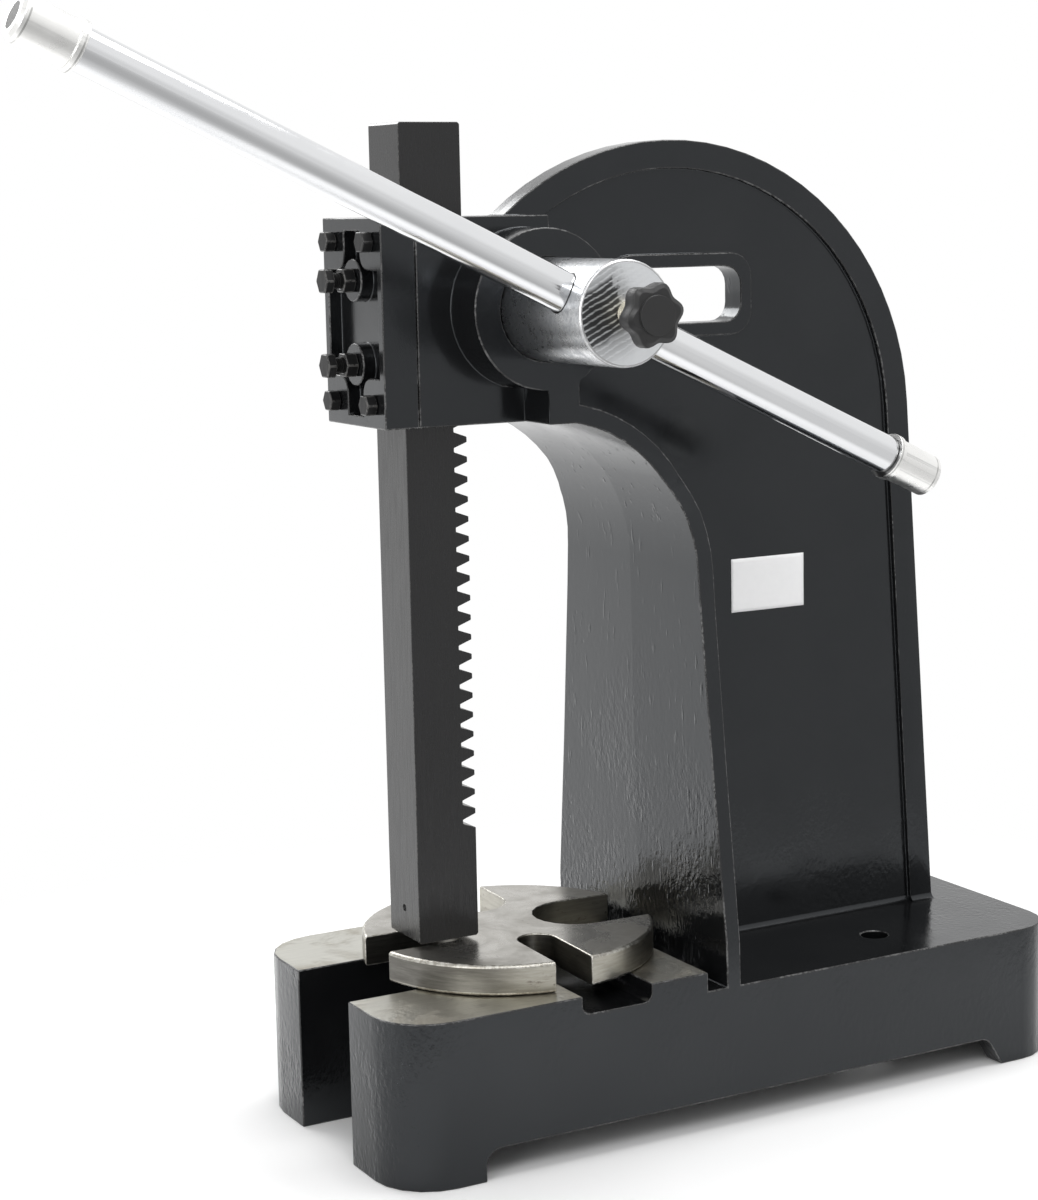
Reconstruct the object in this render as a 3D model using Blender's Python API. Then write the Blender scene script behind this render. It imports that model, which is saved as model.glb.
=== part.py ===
"""Arbor press: a cast frame with a forked base, a square rack ram, a cross bar lever
and a slotted round anvil plate.

Lengths are in metres. Heights are measured up from the bench, along +Z, with the ram's
axis at X = 0, Y = 0, the front at -Y and the lever at +X. The empty named press carries
every piece and sets the ram's lower end on the world's origin.
"""

import math

import bmesh
import bpy
from mathutils import Matrix, Vector

# Clearances shared by all pieces
FIT = 0.0003
OVERRUN = 0.004
EMBED = 0.003

# Ram and its rack
RAM_WIDTH = 0.038
RAM_ABOVE_HEAD = 0.0518
RAM_STANDOFF = 0.0021
RAM_CHAMFER = 0.0012
GEAR_MODULE = 0.0036
TOOTH_BACKLASH = 0.0008
PINION_TEETH = 17
RACK_ABOVE_FOOT = 0.062
RACK_BELOW_TOP = 0.063
PRESSURE_ANGLE = math.radians(20)
DEDENDUM_SHARE = 1.25
MARK_RADIUS = 0.002
MARK_DEPTH = 0.001
MARK_ABOVE_FOOT = 0.0175

# Base of the casting
BASE_WIDTH = 0.1982
BASE_LENGTH = 0.4607
BASE_FRONT_REACH = 0.0722
BASE_PAD_HEIGHT = 0.0955
BASE_STEP = 0.0111
BASE_FRONT_CORNER = 0.035
BASE_REAR_CORNER = 0.030
FORK_WIDTH = 0.0696
FORK_END = 0.030
FORK_CORNER = 0.020
GROOVE_FRONT = 0.0428
GROOVE_WIDTH = 0.0452
GROOVE_DEPTH = 0.0105
GROOVE_FILLET = 0.005
LAND_LENGTH = 0.038
ARCH_FRONT = -0.0197
ARCH_LENGTH = 0.3617
ARCH_HEIGHT = 0.018
ARCH_SLOPE = 0.011
ARCH_FILLET = 0.009
CORE_WALL = 0.0145
CORE_ROOF = 0.0244
CORE_CORNER = 0.012
BENCH_HOLE_RADIUS = 0.0085
BENCH_HOLE_SIDE = 0.0582
BENCH_HOLE_BACK = 0.2739

# Head of the casting
HEAD_WIDTH = 0.076
HEAD_HEIGHT = 0.1151
HEAD_BELOW_AXIS = 0.0638
HEAD_BACK = 0.064
AXIS_HEIGHT = 0.4781
BOSS_RADIUS = 0.0447
BOSS_WIDTH = 0.1334
BOSS_FOOT_FRONT = 0.0463
BOSS_FOOT_WIDTH = 0.0196
BOSS_FOOT_FILLET = 0.006

# Throat flange of the casting
THROAT_RADIUS = 0.090
THROAT_IN_HEAD = 0.0017
THROAT_FOOT_LEAN = 0.003
FLANGE_THICKNESS = 0.0105
FLANGE_FOOT_THICKNESS = 0.0093
FLANGE_NARROW_BELOW_AXIS = 0.0981
FLANGE_HEIGHT_SHARES = (0.0, 0.087, 0.222, 0.391, 0.560, 0.729, 0.831, 0.932, 1.0)
FLANGE_WIDTH_SHARES = (1.0, 0.994, 0.852, 0.676, 0.519, 0.361, 0.287, 0.179, 0.0)

# Web of the casting
WEB_THICKNESS = 0.018
WEB_PANEL_THICKNESS = 0.0115
WEB_RIM = 0.0165
WEB_ARC_RADIUS = 0.1725
WEB_ARC_BACK = 0.1636
WEB_ARC_BELOW_AXIS = 0.079
WEB_FOOT_BACK = 0.356
WEB_FOOT_FILLET = 0.0055
WINDOW_FRONT = 0.128
WINDOW_LENGTH = 0.083
WINDOW_BELOW_AXIS = 0.0141
WINDOW_HEIGHT = 0.033
WINDOW_CORNER = 0.011
WINDOW_BORDER = 0.008
WINDOW_BORDER_CORNER = 0.014

# Cover plate with its gib
COVER_DEPTH = 0.0207
COVER_RECESS = 0.0078
COVER_STRIP = 0.006
COVER_TOP_BORDER = 0.0072
COVER_PAD_INNER = 0.010
COVER_PAD_HEIGHT = 0.0215
COVER_PAD_CORNER = 0.0095
COVER_BOSS_RADIUS = 0.012
COVER_BOSS_SPACING = 0.0466
COVER_BOLT_SIDE = 0.024
COVER_BOLT_SPACING = 0.089
GIB_THICKNESS = 0.004
GIB_WIDTH = 0.036
GIB_END_WALL = 0.0025

# Cover bolts
COVER_BOLT_RADIUS = 0.003
COVER_BOLT_FLATS = 0.011
COVER_BOLT_HEAD = 0.0065
COVER_BOLT_GRIP = 0.014

# Gib screws and lock nuts
GIB_SCREW_RADIUS = 0.004
GIB_SCREW_FLATS = 0.013
GIB_SCREW_HEAD = 0.0055
GIB_SCREW_STANDOFF = 0.0186
LOCK_NUT_HEIGHT = 0.0073

# Pinion shaft and its hub
PINION_FACE = 0.038
HUB_RADIUS = 0.0284
HUB_END = 0.1525
HUB_CHAMFER = 0.001
JOURNAL_RADIUS = 0.0225
JOURNAL_CHAMFER = 0.0015

# Bearing cap on the far side
CAP_RADIUS = 0.044
CAP_FLANGE = 0.006
CAP_CHAMFER = 0.001
CAP_WALL_RADIUS = 0.0347
CAP_SCREW_RADIUS = 0.0025
CAP_SCREW_CIRCLE = 0.0395
CAP_SCREW_HEAD_RADIUS = 0.0042
CAP_SCREW_HEAD = 0.005
CAP_SCREW_GRIP = 0.010
CAP_SCREW_COUNT = 3
SOCKET_FLATS = 0.004
SOCKET_DEPTH = 0.0025

# End washer and bolt of the pinion shaft
WASHER_RADIUS = 0.028
WASHER_THICKNESS = 0.004
SHAFT_BOLT_RADIUS = 0.005
SHAFT_BOLT_FLATS = 0.017
SHAFT_BOLT_HEAD = 0.007
SHAFT_BOLT_GRIP = 0.018

# Lever bar with its end caps
LEVER_X = 0.128
LEVER_ANGLE = math.radians(25.3)
LEVER_RADIUS = 0.011
LEVER_FRONT = 0.3446
LEVER_BACK = 0.2382
LEVER_TIP_RADIUS = 0.009
END_CAP_RADIUS = 0.0122
END_CAP_RING_RADIUS = 0.0134
END_CAP_LENGTH = 0.0365
END_CAP_RING = 0.004
END_CAP_TIP = 0.003
END_CAP_CHAMFER = 0.002

# Clamp knob and its stud
STUD_RADIUS = 0.005
STUD_COLLAR_RADIUS = 0.0065
STUD_COLLAR = 0.010
STUD_GRIP_IN_KNOB = 0.008
KNOB_RADIUS = 0.0175
KNOB_LOBE_DEPTH = 0.0030
KNOB_LOBES = 6
KNOB_LOBE_TURN = math.radians(10)
KNOB_BACK = 0.171
KNOB_LENGTH = 0.012
KNOB_EDGE = 0.003
KNOB_DISC_RADIUS = 0.0105
KNOB_DISC_HEIGHT = 0.0012
KNOB_NECK_RADIUS = 0.008
KNOB_NECK = 0.006

# Anvil plate and its pin
PLATE_RADIUS = 0.0863
PLATE_THICKNESS = 0.0179
PLATE_BACK = 0.0482
PLATE_CHAMFER = 0.0012
PLATE_TURN = math.radians(-2)
PLATE_SLOT_WIDTHS = (0.0225, 0.053, 0.042, 0.0345)
PLATE_SLOT_ENDS = (0.0276, 0.0195, 0.0306, 0.030)
PIN_RADIUS = 0.008
PIN_LENGTH = 0.040
PIN_IN_PLATE = 0.010
PIN_CHAMFER = 0.001

# Counts that set how finely curves are drawn
ROUND_STEPS = 40
SMALL_ROUND_STEPS = 20
CORNER_STEPS = 5
THROAT_STEPS = 14
WEB_ARC_STEPS = 26
FLANK_STEPS = 5
KNOB_STEPS = 60

# Places worked out from the sizes above
PITCH_RADIUS = GEAR_MODULE * PINION_TEETH / 2
PITCH = math.pi * GEAR_MODULE
TIP_RADIUS = PITCH_RADIUS + GEAR_MODULE
ROOT_RADIUS = PITCH_RADIUS - GEAR_MODULE * DEDENDUM_SHARE
RAM_HALF = RAM_WIDTH / 2
PINION_Y = RAM_HALF - GEAR_MODULE + PITCH_RADIUS
PLATE_BOTTOM = BASE_PAD_HEIGHT + FIT
PLATE_TOP = PLATE_BOTTOM + PLATE_THICKNESS
RAM_BOTTOM = PLATE_TOP + RAM_STANDOFF
BASE_REAR_HEIGHT = BASE_PAD_HEIGHT - BASE_STEP
CORE_HEIGHT = BASE_REAR_HEIGHT - CORE_ROOF
BASE_HALF = BASE_WIDTH / 2
BASE_FRONT = -BASE_FRONT_REACH
BASE_BACK = BASE_FRONT + BASE_LENGTH
GROOVE_BACK = GROOVE_FRONT + GROOVE_WIDTH
LAND_BACK = GROOVE_BACK + LAND_LENGTH
FORK_HALF = FORK_WIDTH / 2
HEAD_HALF = HEAD_WIDTH / 2
HEAD_BOTTOM = AXIS_HEIGHT - HEAD_BELOW_AXIS
HEAD_TOP = HEAD_BOTTOM + HEAD_HEIGHT
RAM_TOP = HEAD_TOP + RAM_ABOVE_HEAD
HEAD_MIDDLE = HEAD_BOTTOM + HEAD_HEIGHT / 2
CHANNEL_HALF = RAM_HALF + FIT
COVER_BACK_Y = -(CHANNEL_HALF + FIT)
HEAD_FRONT_Y = COVER_BACK_Y + FIT
COVER_FRONT_Y = COVER_BACK_Y - COVER_DEPTH
GIB_FRONT_Y = -(CHANNEL_HALF + GIB_THICKNESS)
BOSS_HALF = BOSS_WIDTH / 2
GEAR_HALF = PINION_FACE / 2
THROAT_CENTRE_Y = BOSS_FOOT_FRONT
THROAT_CENTRE_HEIGHT = HEAD_BOTTOM + THROAT_IN_HEAD - THROAT_RADIUS
THROAT_FACE_Y = THROAT_CENTRE_Y + THROAT_RADIUS
THROAT_FOOT_Y = THROAT_FACE_Y + THROAT_FOOT_LEAN
FLANGE_BACK_RADIUS = THROAT_RADIUS + FLANGE_THICKNESS
FLANGE_FOOT_BACK_Y = THROAT_FOOT_Y + FLANGE_FOOT_THICKNESS
FLANGE_NARROW_HEIGHT = AXIS_HEIGHT - FLANGE_NARROW_BELOW_AXIS
WEB_ARC_HEIGHT = AXIS_HEIGHT - WEB_ARC_BELOW_AXIS
WINDOW_BOTTOM = AXIS_HEIGHT - WINDOW_BELOW_AXIS
CAP_BORE_RADIUS = CAP_WALL_RADIUS + FIT
CAP_OUTER_X = -(BOSS_HALF + FIT + CAP_FLANGE)
CAP_INNER_X = -(GEAR_HALF + FIT)
JOURNAL_END_X = CAP_OUTER_X - FIT
WASHER_INNER_X = JOURNAL_END_X - FIT
WASHER_OUTER_X = WASHER_INNER_X - WASHER_THICKNESS
LEVER_HOLE_RADIUS = LEVER_RADIUS + FIT
STUD_TIP_X = LEVER_X + LEVER_RADIUS + FIT
KNOB_FRONT_X = KNOB_BACK + KNOB_LENGTH
PIN_TOP = PLATE_BOTTOM + PIN_IN_PLATE
PIN_BOTTOM = PIN_TOP - PIN_LENGTH
SCREW_HEAD_BACK_Y = COVER_FRONT_Y - GIB_SCREW_STANDOFF + GIB_SCREW_HEAD

# Colours, as red, green, blue, and their roughness and metallic value
BLACK_PAINT = ((0.018, 0.018, 0.019), 0.28, 0.0)
GROUND_STEEL = ((0.55, 0.53, 0.50), 0.38, 1.0)
TURNED_STEEL = ((0.60, 0.60, 0.60), 0.28, 1.0)
CHROME = ((0.78, 0.79, 0.80), 0.10, 1.0)
BLACK_STEEL = ((0.035, 0.034, 0.034), 0.42, 0.8)
BLACK_PLASTIC = ((0.030, 0.030, 0.031), 0.48, 0.0)
ZINC = ((0.62, 0.60, 0.52), 0.30, 1.0)
BRONZE = ((0.42, 0.30, 0.14), 0.40, 1.0)


def at(axis, along, pair):
    """A point from its place along an axis and the two other coordinates in order."""
    first, second = pair
    if axis == "X":
        return Vector((along, first, second))
    if axis == "Y":
        return Vector((first, along, second))
    return Vector((first, second, along))


def arc(centre, radius, start, end, steps):
    """Points along an arc, with angles in radians and both ends included."""
    points = []
    for index in range(steps + 1):
        angle = start + (end - start) * index / steps
        across = centre[0] + radius * math.cos(angle)
        up = centre[1] + radius * math.sin(angle)
        points.append((across, up))
    return points


def rounded(corners):
    """An outline whose corners, given as (first, second, radius), are rounded."""
    points = []
    count = len(corners)
    for index in range(count):
        here = Vector(corners[index][:2])
        radius = corners[index][2]
        before = Vector(corners[index - 1][:2]) - here
        after = Vector(corners[(index + 1) % count][:2]) - here
        if radius <= 0:
            points.append(tuple(here))
            continue
        half = before.angle(after) / 2
        room = min(before.length, after.length) / 2
        radius = min(radius, room * math.tan(half))
        before.normalize()
        after.normalize()
        centre = here + (before + after).normalized() * (radius / math.sin(half))
        reach = radius / math.tan(half)
        first = here + before * reach - centre
        last = here + after * reach - centre
        turn = first.angle_signed(last)
        for step in range(CORNER_STEPS + 1):
            spoke = Vector(first)
            spoke.rotate(Matrix.Rotation(-turn * step / CORNER_STEPS, 2))
            points.append(tuple(centre + spoke))
    return points


def box_outline(low, high, radius):
    """A rectangle between two corners, all four rounded alike."""
    return rounded([
        (low[0], low[1], radius),
        (high[0], low[1], radius),
        (high[0], high[1], radius),
        (low[0], high[1], radius),
    ])


def hexagon(flats, centre):
    """A hexagon of a given width across its flats."""
    radius = flats / math.sqrt(3)
    return arc(centre, radius, 0, 2 * math.pi * 5 / 6, 5)


def add_rings(mesh, rings, closed):
    """Skin a run of point rings, with flat ends or joined back on itself."""
    rows = []
    for ring in rings:
        rows.append([mesh.verts.new(point) for point in ring])
    count = len(rows[0])
    spans = len(rows) if closed else len(rows) - 1
    for row in range(spans):
        lower = rows[row]
        upper = rows[(row + 1) % len(rows)]
        for index in range(count):
            after = (index + 1) % count
            mesh.faces.new((lower[index], lower[after], upper[after], upper[index]))
    if not closed:
        mesh.faces.new(rows[0])
        mesh.faces.new(rows[-1])


def add_prism(mesh, outline, axis, low, high):
    """Extrude an outline along an axis between two places."""
    lower = [at(axis, low, point) for point in outline]
    upper = [at(axis, high, point) for point in outline]
    add_rings(mesh, [lower, upper], False)


def add_turned(mesh, profile, axis, centre, steps, closed=False):
    """Turn a profile of (place along the axis, radius) about the axis at a centre."""
    rings = []
    for along, radius in profile:
        ring = []
        for index in range(steps):
            angle = 2 * math.pi * index / steps
            first = centre[0] + radius * math.cos(angle)
            second = centre[1] + radius * math.sin(angle)
            ring.append(at(axis, along, (first, second)))
        rings.append(ring)
    add_rings(mesh, rings, closed)


def add_lofted(mesh, outline, axis, centre, sections):
    """Stack copies of an outline about a centre, each drawn in by a length."""
    rings = []
    for along, inset in sections:
        ring = []
        for point in outline:
            spoke = Vector(point)
            spoke = spoke * (1 - inset / spoke.length)
            ring.append(at(axis, along, (centre[0] + spoke.x, centre[1] + spoke.y)))
        rings.append(ring)
    add_rings(mesh, rings, False)


def carry(piece, holder):
    """Hang a piece, modelled in the press's own coordinates, on an axis empty."""
    piece.parent = holder
    if holder is not press:
        piece.matrix_parent_inverse = Matrix.Translation(-holder.location)


def made(name, mesh):
    """Turn working geometry into an object on the press."""
    bmesh.ops.recalc_face_normals(mesh, faces=mesh.faces)
    data = bpy.data.meshes.new(name)
    mesh.to_mesh(data)
    mesh.free()
    data.shade_smooth()
    data.set_sharp_from_angle(angle=math.radians(35))
    piece = bpy.data.objects.new(name, data)
    bpy.context.scene.collection.objects.link(piece)
    piece.parent = press
    return piece


def combine(body, tool, operation):
    """Join, cut or trim a body with a tool that stays out of the picture."""
    step = body.modifiers.new(tool.name, "BOOLEAN")
    step.operation = operation
    step.solver = "EXACT"
    step.object = tool
    tool.hide_render = True
    tool.display_type = "WIRE"


def finish(piece, look):
    """Give a piece its own paint or metal."""
    colour, roughness, metallic = look
    paint = bpy.data.materials.new(piece.name)
    paint.use_nodes = True
    shader = paint.node_tree.nodes["Principled BSDF"]
    shader.inputs["Base Color"].default_value = (*colour, 1.0)
    shader.inputs["Roughness"].default_value = roughness
    shader.inputs["Metallic"].default_value = metallic
    piece.data.materials.append(paint)


def axis_empty(name, place):
    """An empty on a joint's axis, carried by the press."""
    empty = bpy.data.objects.new(name, None)
    bpy.context.scene.collection.objects.link(empty)
    empty.empty_display_size = RAM_WIDTH
    empty.location = place
    empty.parent = press
    return empty


def base_block():
    """The base with its machined pads, fork, groove, arches and cored underside."""
    mesh = bmesh.new()
    outline = rounded([
        (-BASE_HALF, BASE_FRONT, BASE_FRONT_CORNER),
        (BASE_HALF, BASE_FRONT, BASE_FRONT_CORNER),
        (BASE_HALF, BASE_BACK, BASE_REAR_CORNER),
        (-BASE_HALF, BASE_BACK, BASE_REAR_CORNER),
    ])
    add_prism(mesh, outline, "Z", 0, BASE_PAD_HEIGHT)
    block = made("base_block", mesh)

    mesh = bmesh.new()
    top = BASE_PAD_HEIGHT + OVERRUN
    add_prism(mesh, rounded([
        (GROOVE_FRONT, top, 0),
        (GROOVE_BACK, top, 0),
        (GROOVE_BACK, BASE_PAD_HEIGHT - GROOVE_DEPTH, GROOVE_FILLET),
        (GROOVE_FRONT, BASE_PAD_HEIGHT - GROOVE_DEPTH, GROOVE_FILLET),
    ]), "X", -BASE_HALF - OVERRUN, BASE_HALF + OVERRUN)
    add_prism(mesh, box_outline(
        (LAND_BACK, BASE_REAR_HEIGHT), (BASE_BACK + OVERRUN, top), 0,
    ), "X", -BASE_HALF - OVERRUN, BASE_HALF + OVERRUN)
    combine(block, made("top_cuts", mesh), "DIFFERENCE")

    mesh = bmesh.new()
    add_prism(mesh, rounded([
        (-FORK_HALF, BASE_FRONT - OVERRUN, 0),
        (FORK_HALF, BASE_FRONT - OVERRUN, 0),
        (FORK_HALF, FORK_END, FORK_CORNER),
        (-FORK_HALF, FORK_END, FORK_CORNER),
    ]), "Z", -OVERRUN, top)
    combine(block, made("fork_cut", mesh), "DIFFERENCE")

    mesh = bmesh.new()
    add_prism(mesh, rounded([
        (ARCH_FRONT, -OVERRUN, 0),
        (ARCH_FRONT, ARCH_HEIGHT, ARCH_FILLET),
        (ARCH_FRONT + ARCH_LENGTH - ARCH_SLOPE, ARCH_HEIGHT, ARCH_FILLET),
        (ARCH_FRONT + ARCH_LENGTH, 0, 0),
        (ARCH_FRONT + ARCH_LENGTH, -OVERRUN, 0),
    ]), "X", -BASE_HALF - OVERRUN, BASE_HALF + OVERRUN)
    combine(block, made("arch_cut", mesh), "DIFFERENCE")

    mesh = bmesh.new()
    inner = BASE_HALF - CORE_WALL
    beside_fork = FORK_HALF + CORE_WALL
    add_prism(mesh, rounded([
        (-inner, BASE_BACK - CORE_WALL, CORE_CORNER),
        (-inner, BASE_FRONT + CORE_WALL, CORE_CORNER),
        (-beside_fork, BASE_FRONT + CORE_WALL, CORE_CORNER),
        (-beside_fork, FORK_END + CORE_WALL, CORE_CORNER),
        (beside_fork, FORK_END + CORE_WALL, CORE_CORNER),
        (beside_fork, BASE_FRONT + CORE_WALL, CORE_CORNER),
        (inner, BASE_FRONT + CORE_WALL, CORE_CORNER),
        (inner, BASE_BACK - CORE_WALL, CORE_CORNER),
    ]), "Z", -OVERRUN, CORE_HEIGHT)
    combine(block, made("core_cut", mesh), "DIFFERENCE")
    return block


def flange_plate():
    """The curved plate that faces the throat, wide at its foot and narrow on top."""
    mesh = bmesh.new()
    centre = (THROAT_CENTRE_Y, THROAT_CENTRE_HEIGHT)
    foot = BASE_REAR_HEIGHT - EMBED
    inner = arc(centre, THROAT_RADIUS, 0, math.pi / 2, THROAT_STEPS)
    outer = arc(centre, FLANGE_BACK_RADIUS, math.pi / 2, 0, THROAT_STEPS)
    side = [(THROAT_FOOT_Y, foot)] + inner + outer + [(FLANGE_FOOT_BACK_Y, foot)]
    add_prism(mesh, side, "X", -BASE_HALF, BASE_HALF)
    plate = made("flange_side", mesh)

    mesh = bmesh.new()
    span = FLANGE_NARROW_HEIGHT - BASE_REAR_HEIGHT
    spread = BASE_HALF - BOSS_HALF
    right = [(BASE_HALF, foot - OVERRUN)]
    for height_share, width_share in zip(FLANGE_HEIGHT_SHARES, FLANGE_WIDTH_SHARES):
        height = BASE_REAR_HEIGHT + span * height_share
        right.append((BOSS_HALF + spread * width_share, height))
    right.append((BOSS_HALF, HEAD_TOP))
    left = [(-across, up) for across, up in reversed(right)]
    add_prism(mesh, right + left, "Y", 0, FLANGE_FOOT_BACK_Y + OVERRUN)
    combine(plate, made("flange_front", mesh), "INTERSECT")
    return plate


def rear_edge_tangent():
    """Angle on the web's arc where the straight rear edge leaves it."""
    across = WEB_FOOT_BACK - WEB_ARC_BACK
    down = BASE_REAR_HEIGHT - WEB_ARC_HEIGHT
    return math.atan2(down, across) + math.acos(WEB_ARC_RADIUS / math.hypot(across, down))


def web_plate():
    """The web with its rim, its sunk panels, the window through it and the fillets of its foot."""
    foot = BASE_REAR_HEIGHT - EMBED
    arc_centre = (WEB_ARC_BACK, WEB_ARC_HEIGHT)
    start = rear_edge_tangent()
    rise = HEAD_TOP - WEB_ARC_HEIGHT
    end = math.pi - math.asin(rise / WEB_ARC_RADIUS)
    rim = arc(arc_centre, WEB_ARC_RADIUS, start, end, WEB_ARC_STEPS)
    middle_radius = THROAT_RADIUS + FLANGE_THICKNESS / 2
    throat_centre = (THROAT_CENTRE_Y, THROAT_CENTRE_HEIGHT)
    past_centre = max(0, rim[-1][0] - THROAT_CENTRE_Y)
    top_angle = math.acos(past_centre / middle_radius)
    inner = arc(throat_centre, middle_radius, top_angle, 0, THROAT_STEPS)
    inner_foot = (THROAT_FOOT_Y + FLANGE_FOOT_THICKNESS / 2, foot)
    lean = (WEB_FOOT_BACK - rim[0][0]) / (rim[0][1] - BASE_REAR_HEIGHT)
    outline = [(WEB_FOOT_BACK + lean * EMBED, foot)] + rim + inner + [inner_foot]
    mesh = bmesh.new()
    add_prism(mesh, outline, "X", -WEB_THICKNESS / 2, WEB_THICKNESS / 2)
    web = made("web_plate", mesh)

    panel_radius = WEB_ARC_RADIUS - WEB_RIM
    sunk_arc = arc(arc_centre, panel_radius, start, end, WEB_ARC_STEPS)
    sunk_back = WEB_FOOT_BACK - WEB_RIM / math.cos(start)
    back_corner = (sunk_back + lean * OVERRUN, foot - OVERRUN)
    front_corner = (sunk_arc[-1][0], THROAT_CENTRE_HEIGHT)
    low_corner = (THROAT_FACE_Y, foot - OVERRUN)
    high_corner = (THROAT_FACE_Y, THROAT_CENTRE_HEIGHT)
    sunk = [back_corner] + sunk_arc + [front_corner, high_corner, low_corner]
    mesh = bmesh.new()
    face = WEB_PANEL_THICKNESS / 2
    past = WEB_THICKNESS / 2 + OVERRUN
    add_prism(mesh, sunk, "X", face, past)
    add_prism(mesh, sunk, "X", -past, -face)
    combine(web, made("panel_cuts", mesh), "DIFFERENCE")

    low = (WINDOW_FRONT, WINDOW_BOTTOM)
    high = (WINDOW_FRONT + WINDOW_LENGTH, WINDOW_BOTTOM + WINDOW_HEIGHT)
    border_low = (low[0] - WINDOW_BORDER, low[1] - WINDOW_BORDER)
    border_high = (high[0] + WINDOW_BORDER, high[1] + WINDOW_BORDER)
    mesh = bmesh.new()
    border = box_outline(border_low, border_high, WINDOW_BORDER_CORNER)
    add_prism(mesh, border, "X", -WEB_THICKNESS / 2, WEB_THICKNESS / 2)
    combine(web, made("window_border", mesh), "UNION")
    mesh = bmesh.new()
    add_prism(mesh, box_outline(low, high, WINDOW_CORNER), "X", -past, past)
    combine(web, made("window_cut", mesh), "DIFFERENCE")

    fillet_back = WEB_FOOT_BACK - lean * WEB_FOOT_FILLET
    for half, front in (
        (WEB_PANEL_THICKNESS / 2, inner_foot[0]),
        (WEB_THICKNESS / 2, fillet_back - WEB_RIM),
    ):
        reach = WEB_FOOT_FILLET - FIT
        centre = (half + reach, BASE_REAR_HEIGHT + reach)
        right = arc(centre, WEB_FOOT_FILLET, math.pi, math.pi * 3 / 2, CORNER_STEPS)
        left = [(-across, up) for across, up in reversed(right)]
        mesh = bmesh.new()
        add_prism(mesh, right + left, "Y", front, fillet_back)
        combine(web, made("foot_fillet", mesh), "UNION")
    return web


def boss_foot():
    """The ledge that carries the boss down onto the throat flange."""
    back = BOSS_FOOT_FRONT + BOSS_FOOT_WIDTH
    mesh = bmesh.new()
    outline = rounded([
        (BOSS_FOOT_FRONT, HEAD_BOTTOM, 0),
        (back, HEAD_BOTTOM, 0),
        (back, AXIS_HEIGHT - BOSS_RADIUS + EMBED, BOSS_FOOT_FILLET),
        (back + BOSS_FOOT_FILLET, AXIS_HEIGHT, 0),
        (BOSS_FOOT_FRONT, AXIS_HEIGHT, 0),
    ])
    add_prism(mesh, outline, "X", -BOSS_HALF, BOSS_HALF)
    return made("boss_foot", mesh)


def bolt_places():
    """Places of the four cover bolts, as (side, height)."""
    rise = COVER_BOLT_SPACING / 2
    return {
        "cover_bolt_upper_left": (-COVER_BOLT_SIDE, HEAD_MIDDLE + rise),
        "cover_bolt_upper_right": (COVER_BOLT_SIDE, HEAD_MIDDLE + rise),
        "cover_bolt_lower_left": (-COVER_BOLT_SIDE, HEAD_MIDDLE - rise),
        "cover_bolt_lower_right": (COVER_BOLT_SIDE, HEAD_MIDDLE - rise),
    }


def screw_places():
    """Places of the cap screws, as (back, height), evenly round the pinion."""
    places = []
    for index in range(CAP_SCREW_COUNT):
        angle = math.pi / 2 + 2 * math.pi * index / CAP_SCREW_COUNT
        across = PINION_Y + CAP_SCREW_CIRCLE * math.cos(angle)
        places.append((across, AXIS_HEIGHT + CAP_SCREW_CIRCLE * math.sin(angle)))
    return places


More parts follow.
